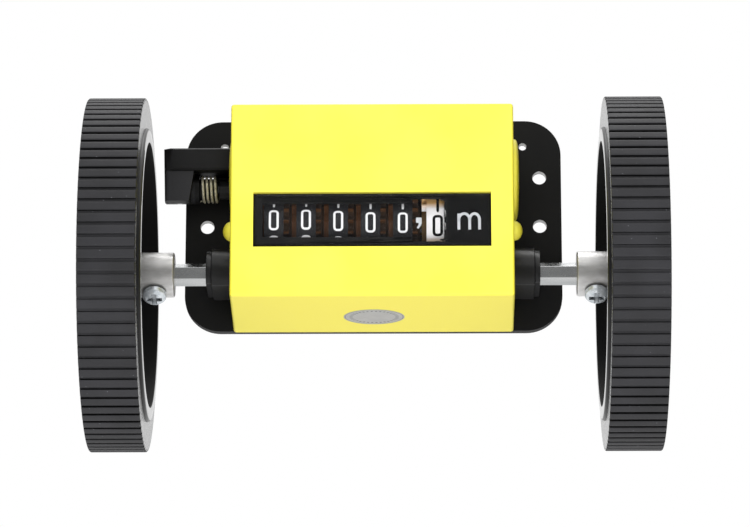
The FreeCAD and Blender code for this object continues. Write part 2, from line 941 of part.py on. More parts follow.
def spring_path():
    halves = spring_turns * 2
    edges = []
    start, way = coil_point(0)
    edges.append(Part.LineSegment(start - way * spring_leg, start).toShape())
    for half in range(halves):
        end, end_way = coil_point((half + 1) / halves)
        edges += biarc(start, way, end, end_way)
        start, way = end, end_way
    edges.append(Part.LineSegment(start, start + way * spring_leg).toShape())
    return edges


def report_spring_gap():
    """Print the least gap between neighbouring turns, measured on points."""
    samples = spring_turns * 48
    points = [coil_point(index / samples)[0] for index in range(samples + 1)]
    apart = samples // spring_turns // 2
    least = min(
        (points[first] - points[second]).Length
        for first in range(samples + 1)
        for second in range(first + apart, samples + 1)
    )
    print("spring least gap %.3f" % (least - spring_wire))


def reset_spring():
    """Torsion spring: four open turns and two straight legs, one unbroken tube."""
    start, way = coil_point(0)
    leg_end = start - way * spring_leg
    side = Vector(1, 0, 0).cross(way).normalize() * (spring_wire / 2)
    turn = FreeCAD.Rotation(way, math.degrees(FULL_TURN / wire_sides))
    corners = [leg_end + side]
    for _ in range(wire_sides):
        side = turn.multVec(side)
        corners.append(leg_end + side)
    section = Part.makePolygon(corners)
    report_spring_gap()
    return Part.Wire(spring_path()).makePipeShell([section], True, False)


# Chassis
def tower_shape(radius, flat, back, start, end):
    """Round in front, flat below, running straight back to the plate."""
    bar = faceted(small_sides, [(start, radius), (end, radius)])
    tail = block((start, end), (0, back), (-radius, radius))
    below = block(
        (start - overrun, end + overrun), (-radius - overrun, back + overrun),
        (-radius - overrun, -flat),
    )
    return joined(bar, tail).cut(below)


def side_cheek():
    """Right wall of the chassis with its bearing boss, tower and shaft holes."""
    front = drum_axis[0] - cheek_ahead
    low = -tower_radius - cheek_below
    high = chassis_top()
    cut = cheek_corner
    wall = prism([
        (front, low + cut), (front, high - cut), (front + cut, high), (plate_face, high),
        (plate_face, low), (front + cut, low),
    ], cheek_in, cheek_out)
    inner = hidden_bar(bearing_boss_radius, sleeve_inner_end + bearing_boss_start, cheek_in)
    tower = tower_shape(tower_radius, tower_flat, plate_face, cheek_out, tower_end)
    nose = tower_shape(
        tower_radius - nose_inset, tower_flat - nose_inset, plate_face, tower_end, nose_end
    )
    return joined(wall, inner, tower, nose)


def chassis_top():
    return reset_axis[1] + comb_hub_radius + post_top_gap + post_radius * 2


def post_heights():
    """Middle of the lower and upper screw posts."""
    low = -tower_radius - cheek_below + post_radius
    return low, chassis_top() - post_radius


def cheek_bores():
    seat_corner = sleeve_bore / math.cos(math.pi / small_sides)
    seat = faceted(small_sides, [(sleeve_inner_end - overrun, seat_corner), (cheek_out, seat_corner)])
    pass_through = hidden_bore(hex_corner + tower_bore_gap, cheek_in, nose_end + overrun)
    bores = [seat, pass_through]
    shafts = (
        (shaft_radius, drum_axis),
        (pinion_shaft_radius, pinion_axis),
        (shaft_radius + running_gap, reset_axis),
        (shaft_radius, idler_axis),
    )
    for radius, axis in shafts:
        bores.append(hidden_bore(radius, drum_gear_right, cheek_out + overrun, axis))
    return bores


def shaft_bosses():
    """Bosses on both cheeks that keep the drums in their place along the shaft."""
    left = hidden_bar(shaft_boss_radius, -cheek_in, stack_left - end_play, drum_axis)
    right = hidden_bar(shaft_boss_radius, drum_gear_right + end_play, cheek_in, drum_axis)
    return [left, right]


def chassis():
    """Moulded frame: two cheeks, floor, top tie and four screw posts."""
    low = -tower_radius - cheek_below
    high = chassis_top()
    front = drum_axis[0] - cheek_ahead + cheek_corner
    right = side_cheek()
    floor = block((-cheek_in, cheek_in), (front, plate_face), (low, low + frame_thickness))
    tie = block(
        (-cheek_in, cheek_in), (plate_face - top_tie_depth, plate_face),
        (high - frame_thickness, high),
    )
    posts = [
        stood_along_y(hidden_bar(post_radius, plate_face - post_length, plate_face), x, z)
        for x, z in plate_screw_places()
    ]
    boss = hidden_bar(reset_boss_radius, -cheek_out - reset_boss_length, -cheek_out, reset_axis)
    frame = joined(right, mirrored(right), floor, tie, boss, *shaft_bosses(), *posts)
    left_bores = [mirrored(bore) for bore in cheek_bores()[:-1]]
    boss_bore = hidden_bore(
        shaft_bore, -cheek_out - reset_boss_length - overrun, -cheek_in + overrun, reset_axis
    )
    holes = [screw_shape(x, z, screw_clearance, 0) for x, z in plate_screw_places()]
    return frame.cut(cheek_bores() + left_bores + [boss_bore] + holes)


# Mounting plate and its screws
def plate_screw_places():
    low, high = post_heights()
    return [(-post_place, low), (post_place, high)]


def base_plate():
    plate = rounded_rectangle(
        (-plate_half, plate_half), (-plate_drop, plate_height - plate_drop), plate_corner,
        plate_face, plate_back,
    )
    start = plate_face - overrun
    end = plate_back + overrun
    tools = [screw_shape(x, z, screw_clearance, overrun) for x, z in plate_screw_places()]
    for side in (-1, 1):
        x = side * (plate_half - mount_hole_inset)
        for row in range(2):
            z = mount_hole_height + row * mount_hole_pitch
            tools.append(along_y(mount_hole_radius, start, end, x, z))
        x = side * (plate_half - small_hole_inset)
        z = plate_height - plate_drop - small_hole_drop
        tools.append(along_y(small_hole_radius, start, end, x, z))
    return plate.cut(tools)


def screw_shape(x, z, extra, above):
    """Countersunk screw, flush with the back of the plate, or the hole that it fits."""
    tip = plate_back - plate_screw_length
    neck = plate_back - plate_screw_head_depth
    outline = [
        (tip, plate_screw_radius + extra),
        (neck, plate_screw_radius + extra),
        (plate_back, plate_screw_head_radius + extra),
    ]
    if above > 0:
        outline.append((plate_back + above, plate_screw_head_radius + extra))
    return stood_along_y(faceted(hidden_sides, outline), x, z)


def plate_screws():
    return [screw_shape(x, z, 0, 0) for x, z in plate_screw_places()]


# Front cover
def cover_half_at(depth):
    """Half width of the cover at a depth: the sides open a little towards the plate."""
    share = (depth - cover_front) / (plate_face - cover_front)
    return cover_half + cover_draft * share


def box_shell(inset, edge):
    """Cover's outer or inner form, with bevelled edges except at the open back."""
    front = cover_front + inset
    half_front = cover_half_at(front) - inset
    half_back = cover_half + cover_draft - inset
    back = plate_face
    if inset > 0:
        back = plate_face + overrun
    corners = [
        Vector(-half_front, front, -cover_drop + inset),
        Vector(half_front, front, -cover_drop + inset),
        Vector(half_back, back, -cover_drop + inset),
        Vector(-half_back, back, -cover_drop + inset),
    ]
    face = Part.Face(Part.makePolygon(corners + corners[:1]))
    shape = face.extrude(Vector(0, 0, cover_rise + cover_drop - 2 * inset))
    if edge == 0:
        return shape
    return shape.makeChamfer(edge, [line for line in shape.Edges if line.BoundBox.YMin < back - overrun])


def window_box(inset, start, end):
    half = cheek_in - window_margin - inset
    middle = drum_axis[1] - window_drop
    reach = window_height / 2 - inset
    return block((-half, half), (start, end), (middle - reach, middle + reach))


def dome_axis():
    return (plate_face - dome_radius - dome_back_gap, reset_axis[1] + dome_above_reset)


def side_dome(height):
    """Raised round boss on the right side of the cover, with a bevelled edge."""
    root = cover_half_at(dome_axis()[0])
    return faceted(round_sides, [
        (root - cover_wall / 2, dome_radius),
        (root + height - dome_edge, dome_radius),
        (root + height, dome_radius - dome_edge),
    ], dome_axis())


def front_cover():
    """Yellow box, open at the back, with window, tower slots, domes and screw holes."""
    shell = box_shell(0, cover_edge).cut(box_shell(cover_wall, 0))
    shell = joined(shell, side_dome(right_dome_height), mirrored(side_dome(left_dome_height)))
    window = window_box(0, cover_front - overrun, cover_front + cover_wall + overrun)
    slot = tower_shape(
        tower_radius + slot_gap, tower_flat + slot_gap, plate_face + overrun, cheek_out,
        cover_half + cover_draft + overrun,
    )
    screw_hole = hidden_bore(
        cover_screw_radius + cover_hole_gap, cheek_out, cover_half + cover_draft + overrun, drum_axis
    )
    shaft_hole = hidden_bore(
        reset_boss_radius + slot_gap, -cover_half - left_dome_height - overrun * 2, -cheek_out,
        reset_axis,
    )
    return shell.cut([window, slot, mirrored(slot), screw_hole, mirrored(screw_hole), shaft_hole])


def cover_screw():
    """Round-head screw on the drum shaft's end."""
    seat = cover_half_at(drum_axis[0]) + running_gap
    tip = cheek_out - cover_screw_length + end_play
    head = faceted(small_sides, [
        (seat, cover_screw_head_radius),
        (seat + cover_screw_head_height - cover_screw_edge, cover_screw_head_radius),
        (seat + cover_screw_head_height, cover_screw_head_radius - cover_screw_edge * 2),
    ], drum_axis)
    return joined(head, hidden_bar(cover_screw_radius, tip, seat, drum_axis))


def bezel_front():
    return cover_front + bezel_setback


def aperture(left, right, height):
    middle = drum_axis[1] - aperture_drop
    return rounded_rectangle(
        (left, right), (middle - height / 2, middle + height / 2), aperture_corner_radius,
        bezel_front() - overrun, cover_front + cover_front_gap,
    )


def window_bezel():
    """Black mask behind the window, with a taller opening over the tenths drum."""
    lip_front = cover_front + cover_wall + bezel_wall_gap
    raised = window_box(bezel_inset, bezel_front(), lip_front + bezel_lip_thickness / 2)
    lip = window_box(-bezel_lip, lip_front, lip_front + bezel_lip_thickness)
    tall_left = tenths_left - tenths_aperture_lead
    tall_right = tenths_right - cam_width
    low = aperture(stack_left + aperture_left_inset, tall_left + bezel_lip, aperture_height)
    tall = aperture(tall_left, tall_right, tenths_aperture_height)
    return joined(raised, lip).cut([low, tall])


def window_lens():
    return window_box(bezel_inset, bezel_front() - lens_thickness, bezel_front())


def write(name, shapes, shift=0.0):
    """Write one piece, or a group of alike pieces, as one file."""
    if not isinstance(shapes, list):
        shapes = [shapes]
    solids = [solid for shape in shapes for solid in shape.Solids]
    for solid in solids:
        solid.translate(Vector(shift, 0, 0))
    result = solids[0] if len(solids) == 1 else Part.makeCompound(solids)
    valid = all(solid.isValid() for solid in solids)
    print("%s solids %d volume %.1f valid %s" % (name, len(solids), result.Volume, valid))
    result.exportStep("parts/%s.step" % name)


def write_pair(name, shape, shift=0.0):
    write("right_" + name, shape.copy(), shift)
    write("left_" + name, mirrored(shape), shift)


def main():
    os.makedirs("parts", exist_ok=True)

    # What turns with the axle and isn't placed by the housing
    write_pair("tyre", tyre())
    write_pair("wheel", wheel_disc())
    write_pair("hub", hub())
    write_pair("clamp_screw", clamp_screw())
    write("main_axle", main_axle())
    write("axle_clips", axle_clips())

    # The housing and all that it places sit a little to the left of the wheels' middle
    shift = -housing_shift
    write("axle_gear", axle_gear(), shift)
    write_pair("bearing_sleeve", bearing_sleeve(), shift)
    write("idler_gear", idler_gear(), shift)
    write("idler_stud", idler_stud(), shift)
    write("idler_clip", idler_clip(), shift)
    drum_names = ("ten_thousands", "thousands", "hundreds", "tens", "units")
    for place, name in enumerate(drum_names):
        write(name + "_drum", black_drum(place), shift)
        write(name + "_pinion", transfer_pinion(place), shift)
    write("tenths_drum", tenths_drum(), shift)
    write("tenths_gear", tenths_gear(), shift)
    write("drum_shaft", drum_shaft(), shift)
    write("pinion_shaft", pinion_shaft(), shift)
    write("reset_shaft", reset_shaft(), shift)
    write("reset_comb", reset_comb(), shift)
    write("reset_lever", reset_lever(), shift)
    write("lever_pin", lever_pin_bar(0), shift)
    write("reset_spring", reset_spring(), shift)
    write("chassis", chassis(), shift)
    write("base_plate", base_plate(), shift)
    write("plate_screws", plate_screws(), shift)
    write("front_cover", front_cover(), shift)
    write_pair("cover_screw", cover_screw(), shift)
    write("window_bezel", window_bezel(), shift)
    write("window_lens", window_lens(), shift)


main()
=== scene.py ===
import json
import math

import bmesh
import bpy
from mathutils import Matrix, Vector


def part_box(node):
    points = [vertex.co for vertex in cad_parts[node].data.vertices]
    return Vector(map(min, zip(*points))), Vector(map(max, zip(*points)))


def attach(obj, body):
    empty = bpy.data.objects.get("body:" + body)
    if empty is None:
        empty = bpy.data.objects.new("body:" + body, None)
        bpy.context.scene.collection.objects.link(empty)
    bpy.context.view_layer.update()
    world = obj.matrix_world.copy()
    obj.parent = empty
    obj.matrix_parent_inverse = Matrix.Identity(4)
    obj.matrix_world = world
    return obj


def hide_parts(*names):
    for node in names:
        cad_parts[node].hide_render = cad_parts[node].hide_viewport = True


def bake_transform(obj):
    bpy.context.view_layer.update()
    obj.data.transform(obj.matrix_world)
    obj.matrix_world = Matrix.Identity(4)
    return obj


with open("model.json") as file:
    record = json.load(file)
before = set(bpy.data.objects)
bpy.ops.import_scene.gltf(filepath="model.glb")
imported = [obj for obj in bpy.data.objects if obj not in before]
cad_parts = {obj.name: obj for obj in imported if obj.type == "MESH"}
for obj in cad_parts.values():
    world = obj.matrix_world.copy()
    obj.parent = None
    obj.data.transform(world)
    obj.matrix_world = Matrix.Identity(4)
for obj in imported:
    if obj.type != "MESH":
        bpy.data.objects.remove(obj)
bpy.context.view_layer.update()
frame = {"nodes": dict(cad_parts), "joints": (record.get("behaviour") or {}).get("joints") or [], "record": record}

MM = 0.001
FULL_TURN = 2 * math.pi
SHARP_ANGLE = math.radians(32)
MERGE_DISTANCE = 0.002 * MM


# Places read from the frame
def reach(node, axis):
    """Lowest and highest place of a CAD node along one axis, in millimetres."""
    low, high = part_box(node)
    return low[axis] / MM, high[axis] / MM


def joint_axis(name):
    """Place of a joint's axis across the mechanism, as (y, z)."""
    joint = next(item for item in frame["joints"] if item["name"] == name)
    return joint["pos_m"][1] / MM, joint["pos_m"][2] / MM


DRUM_AXIS = joint_axis("tenths_spin")
RESET_AXIS = joint_axis("reset_press")
BLACK_DRUMS = ("ten_thousands", "thousands", "hundreds", "tens", "units")
SIDES = (("right", 1), ("left", -1))


# Procedural materials
def linear(value):
    share = value / 255
    if share <= 0.04045:
        return share / 12.92
    return ((share + 0.055) / 1.055) ** 2.4


def colour(red, green, blue):
    return (linear(red), linear(green), linear(blue), 1)


def grey(level):
    return (level, level, level, 1)


def noise(tree, source, size, detail):
    node = tree.nodes.new("ShaderNodeTexNoise")
    node.inputs["Scale"].default_value = 1 / (size * MM)
    node.inputs["Detail"].default_value = detail
    tree.links.new(source, node.inputs["Vector"])
    return node.outputs["Fac"]


def ramp(tree, source, stops):
    node = tree.nodes.new("ShaderNodeValToRGB")
    band = node.color_ramp
    while len(band.elements) < len(stops):
        band.elements.new(0.5)
    for element, (place, paint) in zip(band.elements, stops):
        element.position = place
        element.color = paint
    tree.links.new(source, node.inputs["Fac"])
    return node.outputs["Color"]


def grey_ramp(tree, source, stops):
    return ramp(tree, source, [(place, grey(level)) for place, level in stops])


def calculated(tree, operation, *values):
    """Output of one arithmetic node; each value is a number or another output."""
    node = tree.nodes.new("ShaderNodeMath")
    node.operation = operation
    for place, value in enumerate(values):
        if isinstance(value, (int, float)):
            node.inputs[place].default_value = value
        else:
            tree.links.new(value, node.inputs[place])
    return node.outputs["Value"]


def between(tree, value, low, high):
    """One where a value lies between two limits, and nothing elsewhere."""
    return calculated(tree, "COMPARE", value, (low + high) / 2, (high - low) / 2)


def from_axis(tree, first, second):
    """Distance from an axis, of which the two parts across it are given."""
    squares = [calculated(tree, "POWER", part, 2) for part in (first, second)]
    return calculated(tree, "SQRT", calculated(tree, "ADD", *squares))


def rescaled(tree, source, start, end, low=0.0, high=1.0):
    """Turn the stretch from start to end into low to high, held level beyond it."""
    node = tree.nodes.new("ShaderNodeMapRange")
    limits = {"From Min": start, "From Max": end, "To Min": low, "To Max": high}
    for name, value in limits.items():
        node.inputs[name].default_value = value
    tree.links.new(source, node.inputs["Value"])
    return node.outputs["Result"]


def mixed(tree, share, first, second):
    """Blend of two colours, each a plain colour or another output."""
    node = tree.nodes.new("ShaderNodeMix")
    node.data_type = "RGBA"
    tree.links.new(share, node.inputs["Factor"])
    for place, paint in ((6, first), (7, second)):
        if isinstance(paint, tuple):
            node.inputs[place].default_value = paint
        else:
            tree.links.new(paint, node.inputs[place])
    return node.outputs[2]


def split(tree, kind, output):
    """X, Y and Z of what a kind of node gives, such as a place or a normal."""
    source = tree.nodes.new(kind)
    parts = tree.nodes.new("ShaderNodeSeparateXYZ")
    tree.links.new(source.outputs[output], parts.inputs["Vector"])
    return [parts.outputs[axis] for axis in "XYZ"]


NOISE_RANGE = (0.3, 0.7)
PATCH_RANGE = (0.35, 0.65)


def surface(name, dark, light, rough, patch, grain, bump, stretch=(1, 1, 1), metallic=0, specular=0.5):
    """Material whose colour drifts over patches, with a fine grain in its bump and roughness."""
    made = bpy.data.materials.new(name)
    made.use_nodes = True
    tree = made.node_tree
    shader = tree.nodes["Principled BSDF"]
    shader.inputs["Metallic"].default_value = metallic
    shader.inputs["Specular IOR Level"].default_value = specular
    place = tree.nodes.new("ShaderNodeTexCoord")
    mapping = tree.nodes.new("ShaderNodeMapping")
    mapping.inputs["Scale"].default_value = stretch
    tree.links.new(place.outputs["Object"], mapping.inputs["Vector"])
    patches = noise(tree, mapping.outputs["Vector"], patch, 4)
    grains = noise(tree, mapping.outputs["Vector"], grain, 3)
    drift = ramp(tree, patches, list(zip(PATCH_RANGE, (colour(*dark), colour(*light)))))
    tree.links.new(drift, shader.inputs["Base Color"])
    tree.links.new(rescaled(tree, grains, *NOISE_RANGE, *rough), shader.inputs["Roughness"])
    relief = tree.nodes.new("ShaderNodeBump")
    relief.inputs["Strength"].default_value = 1
    relief.inputs["Distance"].default_value = bump * MM
    tree.links.new(grains, relief.inputs["Height"])
    tree.links.new(relief.outputs["Normal"], shader.inputs["Normal"])
    return made


def painted(made, share, paint):
    """Blend a colour into a material, by the share that an output gives."""
    tree = made.node_tree
    base = tree.nodes["Principled BSDF"].inputs["Base Color"]
    tree.links.new(mixed(tree, share, base.links[0].from_socket, colour(*paint)), base)
    return made


def roughened(made, share, rough):
    """Blend another roughness into a material, by the share that an output gives."""
    tree = made.node_tree
    roughness = tree.nodes["Principled BSDF"].inputs["Roughness"]
    node = tree.nodes.new("ShaderNodeMix")
    tree.links.new(share, node.inputs[0])
    tree.links.new(roughness.links[0].from_socket, node.inputs[2])
    node.inputs[3].default_value = rough
    tree.links.new(node.outputs[0], roughness)
    return made


def add_specks(made, size, amount, paint):
    """Scatter small pale specks, such as dust, over a material."""
    tree = made.node_tree
    place = tree.nodes.new("ShaderNodeTexCoord")
    cells = tree.nodes.new("ShaderNodeTexVoronoi")
    cells.inputs["Scale"].default_value = 1 / (size * MM)
    tree.links.new(place.outputs["Object"], cells.inputs["Vector"])
    return painted(made, calculated(tree, "LESS_THAN", cells.outputs["Distance"], amount), paint)


def add_bands(made, bands):
    """Paint bands on a drum, each between two shares of its length and two of its radius."""
    tree = made.node_tree
    x, y, z = split(tree, "ShaderNodeTexCoord", "Generated")
    across = calculated(tree, "SUBTRACT", y, 0.5)
    up = calculated(tree, "SUBTRACT", z, 0.5)
    radius = from_axis(tree, across, up)
    for start, end, low, high, paint in bands:
        along = between(tree, x, start, end)
        near = between(tree, radius, low / 2, high / 2)
        painted(made, calculated(tree, "MULTIPLY", along, near), paint)
    return made


def shade_groove_walls(made, radii, ends, paint):
    """Paint shade on the groove walls of a wheel that turns about X, between two radii and two ends."""
    tree = made.node_tree
    x, y, z = split(tree, "ShaderNodeTexCoord", "Object")
    deep = between(tree, from_axis(tree, y, z), *[radius * MM for radius in radii])
    within = between(tree, calculated(tree, "ABSOLUTE", x), *[end * MM for end in ends])
    return painted(made, calculated(tree, "MULTIPLY", deep, within), paint)


def smooth_sides(made, rough, facing=0.9):
    """Make the faces of a material that look along X smoother than the rest."""
    tree = made.node_tree
    along = calculated(tree, "ABSOLUTE", split(tree, "ShaderNodeNewGeometry", "True Normal")[0])
    return roughened(made, calculated(tree, "GREATER_THAN", along, facing), rough)


def painted_light_by_facing(made, axis, sign, start, end, paint):
    """Paint light or shade into the faces that look one way along an axis, or both ways where the sign is 0."""
    tree = made.node_tree
    facing = split(tree, "ShaderNodeNewGeometry", "Normal")["XYZ".index(axis)]
    if sign == 0:
        facing = calculated(tree, "ABSOLUTE", facing)
    else:
        facing = calculated(tree, "MULTIPLY", facing, sign)
    return painted(made, rescaled(tree, facing, start, end), paint)


def painted_light_patch(made, limits, paint):
    """Paint light onto what lies below a limit along X and one along Z, in millimetres."""
    tree = made.node_tree
    x, _, z = split(tree, "ShaderNodeTexCoord", "Object")
    below = [calculated(tree, "LESS_THAN", place, limit * MM) for place, limit in zip((x, z), limits)]
    return painted(made, calculated(tree, "MULTIPLY", *below), paint)


def shade_away_from_height(made, middle, start, end, paint):
    """Paint a brownish shade into what lies, at rest or turned, well above or below a height in the world."""
    tree = made.node_tree
    height = split(tree, "ShaderNodeNewGeometry", "Position")[2]
    away = calculated(tree, "ABSOLUTE", calculated(tree, "SUBTRACT", height, middle * MM))
    return painted(made, rescaled(tree, away, start * MM, end * MM), paint)


def painted_hollow_shade(made, distance, paint, gain=1.6):
    """Paint shade into a material where other surfaces stand near it, within a distance in millimetres."""
    tree = made.node_tree
    near = tree.nodes.new("ShaderNodeAmbientOcclusion")
    near.inputs["Distance"].default_value = distance * MM
    near.samples = 8
    hidden = calculated(tree, "SUBTRACT", 1.0, near.outputs["AO"])
    share = calculated(tree, "MINIMUM", calculated(tree, "MULTIPLY", hidden, gain), 1.0)
    return painted(made, share, paint)


def dull_middle(made, radius, rough, specular):
    """Make a wheel that turns about X duller inside a radius, in millimetres."""
    tree = made.node_tree
    level = tree.nodes["Principled BSDF"].inputs["Specular IOR Level"]
    usual = level.default_value
    _, y, z = split(tree, "ShaderNodeTexCoord", "Object")
    inside = calculated(tree, "LESS_THAN", from_axis(tree, y, z), radius * MM)
    tree.links.new(calculated(tree, "MULTIPLY_ADD", inside, specular - usual, usual), level)
    return roughened(made, inside, rough)


def clear_plastic(name, slant=0.5, clear=0.01):
    """Nearly unseen from the front, and whiter where it is seen at a slant, where its grey stands as a painted
    reflection.
    """
    made = surface(name, (90, 92, 94), (110, 112, 114), (0.05, 0.14), 9, 2.5, 0.002, specular=0.3)
    tree = made.node_tree
    weight = tree.nodes.new("ShaderNodeLayerWeight")
    weight.inputs["Blend"].default_value = 0.25
    shown = calculated(tree, "MULTIPLY_ADD", weight.outputs["Fresnel"], slant, clear)
    tree.links.new(shown, tree.nodes["Principled BSDF"].inputs["Alpha"])
    return made


TICK_COUNT = 34
TICK_WIDTH = 0.24
TICK_RING = (0.705, 0.815)
LABEL_OUTLINE = (0.938, 0.962)


def add_ticks(made, centre, radii, paint):
    """Draw a thin outline and a ring of short ticks on a flat oval label that faces down."""
    tree = made.node_tree
    across, back = [
        calculated(tree, "DIVIDE", calculated(tree, "SUBTRACT", place, middle * MM), radius * MM)
        for place, middle, radius in zip(split(tree, "ShaderNodeTexCoord", "Object"), centre, radii)
    ]
    out = from_axis(tree, across, back)
    angle = calculated(tree, "ARCTAN2", back, across)
    turn = calculated(tree, "MULTIPLY", angle, TICK_COUNT / FULL_TURN)
    ticks = calculated(tree, "LESS_THAN", calculated(tree, "PINGPONG", turn, 0.5), TICK_WIDTH)
    ring = calculated(tree, "MULTIPLY", ticks, between(tree, out, *TICK_RING))
    return painted(made, calculated(tree, "MAXIMUM", ring, between(tree, out, *LABEL_OUTLINE)), paint)


# Inner end and top of the lever's thumb pad
THUMB_PAD = (reach("reset_lever", 0)[0] + 9.3, RESET_AXIS[1] + 3.8)
READING_HEIGHT = DRUM_AXIS[1] - 0.9


FINISH = {
    "tyre": smooth_sides(add_specks(
        surface("rubber", (40, 40, 42), (47, 47, 50), (0.5, 0.66), 14, 0.25, 0.03, specular=0.4),
        2.6, 0.045, (120, 120, 126),
    ), 0.16),
    "wheel": smooth_sides(
        surface("wheel_plastic", (14, 14, 14), (19, 19, 19), (0.3, 0.4), 10, 0.4, 0.004), 0.07
    ),
    "hub": surface(
        "cast_aluminium", (216, 215, 213), (246, 245, 244), (0.3, 0.4), 2.0, 0.5, 0.004,
        (0.35, 1, 1), 0.85,
    ),
    # Painted shade in the recesses of the screw heads
    "screw": painted_hollow_shade(
        surface("zinc", (206, 214, 220), (236, 241, 246), (0.16, 0.28), 1.2, 0.3, 0.004, metallic=0.55),
        1.6, (40, 44, 48),
    ),
    "steel": surface(
        "bright_steel", (196, 199, 200), (222, 223, 223), (0.16, 0.3), 3, 0.3, 0.004, (0.12, 1, 1), 1
    ),
    "clip": surface(
        "spring_steel", (92, 92, 96), (122, 122, 126), (0.3, 0.42), 2, 0.3, 0.006, metallic=1
    ),
    "gear": surface("nylon", (222, 214, 196), (238, 232, 218), (0.38, 0.5), 6, 0.4, 0.01),
    "sleeve": surface("journal_plastic", (20, 20, 20), (28, 28, 28), (0.34, 0.46), 6, 0.4, 0.01),
    # Black drums: the dark band round each ring's end is painted shade in the gaps between the brown tooth tips;
    # the lock ring band is its own brown
    "drum": add_bands(
        surface("drum_plastic", (34, 34, 37), (44, 44, 46), (0.5, 0.62), 3, 0.2, 0.012, specular=0.3),
        [
            (-0.1, 0.147, 0, 1.1, (74, 46, 25)), (0.757, 1.1, 0, 1.1, (46, 33, 23)),
            (0.757, 1.1, 0.93, 1.1, (72, 45, 22)),
        ],
    ),
    # Tenths drum: painted brownish shade well above and below the reading height, which stays in place as the drum
    # turns; the lock ring band is its own brown
    "tenths": add_bands(
        shade_away_from_height(
            surface("white_drum_plastic", (232, 230, 230), (244, 243, 245), (0.34, 0.46), 3, 0.3, 0.01),
            READING_HEIGHT, 4.3, 6.3, (232, 184, 118),
        ),
        [(-0.1, 0.177, 0, 0.82, (76, 56, 24))],
    ),
    "comb": surface(
        "comb_steel", (120, 120, 122), (150, 150, 152), (0.3, 0.42), 4, 0.3, 0.006, metallic=1
    ),
    # Lever: the thumb pad is painted lighter as painted light, its hollows darker as painted shade, and its faces
    # that look to the left darker as painted shade
    "lever": painted_light_by_facing(painted_hollow_shade(painted_light_patch(
        surface("lever_plastic", (18, 18, 19), (24, 24, 25), (0.46, 0.56), 7, 0.3, 0.014, specular=0.3),
        THUMB_PAD, (43, 43, 45),
    ), 5, (6, 6, 6)), "X", -1, 0.25, 0.45, (13, 13, 13)),
    "spring": surface(
        "brass_wire", (214, 206, 178), (236, 230, 206), (0.24, 0.34), 2, 0.3, 0.004, metallic=0.65
    ),
    # Frame faces that look down are painted lighter, as painted light from below
    "frame": painted_light_by_facing(
        surface("frame_plastic", (16, 16, 17), (23, 23, 24), (0.28, 0.4), 6, 0.3, 0.014, specular=0.55),
        "Z", -1, 0.6, 0.95, (50, 50, 51),
    ),
    "plate": surface(
        "plate_paint", (18, 18, 18), (22, 22, 22), (0.42, 0.56), 16, 0.35, 0.014, specular=0.2
    ),
    # Cover faces that look down or to the sides are painted darker, as painted shade
    "cover": painted_light_by_facing(painted_light_by_facing(
        surface(
            "yellow_plastic", (252, 242, 82), (255, 246, 92), (0.4, 0.52), 26, 0.3, 0.008, specular=0.3
        ),
        "Z", -1, 0.2, 1, (241, 228, 84),
    ), "X", 0, 0.3, 1, (222, 208, 52)),
    "bezel": surface(
        "bezel_plastic", (26, 26, 27), (31, 31, 31), (0.46, 0.6), 8, 0.3, 0.008, specular=0.15
    ),
    "lens": clear_plastic("lens_plastic"),
    "white_ink": surface("white_ink", (246, 247, 250), (253, 253, 255), (0.5, 0.6), 1.2, 0.2, 0.003),
    "grey_ink": surface(
        "grey_ink", (192, 196, 200), (206, 209, 213), (0.6, 0.7), 1.2, 0.2, 0.003, specular=0.1
    ),
    "black_ink": surface(
        "black_ink", (20, 19, 20), (28, 27, 27), (0.6, 0.7), 1.2, 0.2, 0.003, specular=0.1
    ),
    # Pale grey for the plate's hole walls, a painted reflection
    "hole_wall_reflection": surface(
        "hole_wall_reflection", (184, 184, 184), (206, 206, 206), (0.4, 0.5), 2, 0.3, 0.004, metallic=0.4
    ),
    "label": surface(
        "silver_label", (164, 163, 160), (176, 175, 171), (0.4, 0.5), 5, 0.3, 0.002, metallic=0.15
    ),
}


# Mesh building
def rounded(points, radii, closed=True, steps=5):
    """Outline whose corners are arcs; radii is one radius, or one for each corner."""
    result = []
    last = len(points) - 1
    for index, point in enumerate(points):
        radius = radii[index] if isinstance(radii, (list, tuple)) else radii
        corner = Vector(point)
        if radius == 0 or not (closed or 0 < index < last):
            result.append(corner)
            continue
        before = Vector(points[index - 1]) - corner
        after = Vector(points[(index + 1) % len(points)]) - corner
        half = before.angle(after) / 2
        leg = min(radius / math.tan(half), before.length * 0.49, after.length * 0.49)
        fitted = leg * math.tan(half)
        inward = (before.normalized() + after.normalized()).normalized()
        centre = corner + inward * (fitted / math.sin(half))
        first = corner + before.normalized() * leg - centre
        final = corner + after.normalized() * leg - centre
        turn = math.atan2(first.x * final.y - first.y * final.x, first.dot(final))
        for step in range(steps + 1):
            angle = turn * step / steps
            cosine, sine = math.cos(angle), math.sin(angle)
            spoke = Vector((first.x * cosine - first.y * sine, first.x * sine + first.y * cosine))
            result.append(centre + spoke)
    return result


def shade(mesh):
    mesh.shade_smooth()
    mesh.set_sharp_from_angle(angle=SHARP_ANGLE)


def placed(name, data):
    """New object of the scene that carries some data."""
    made = bpy.data.objects.new(name, data)
    bpy.context.scene.collection.objects.link(made)
    return made


def mesh_object(name, vertices, faces):
    """Object made of vertices in millimetres, welded and with its normals outwards."""
    mesh = bpy.data.meshes.new(name)
    mesh.from_pydata([Vector(vertex) * MM for vertex in vertices], [], faces)
    tidy = bmesh.new()
    tidy.from_mesh(mesh)
    bmesh.ops.remove_doubles(tidy, verts=tidy.verts, dist=MERGE_DISTANCE)
    bmesh.ops.recalc_face_normals(tidy, faces=tidy.faces)
    tidy.to_mesh(mesh)
    tidy.free()
    shade(mesh)
    return placed(name, mesh)


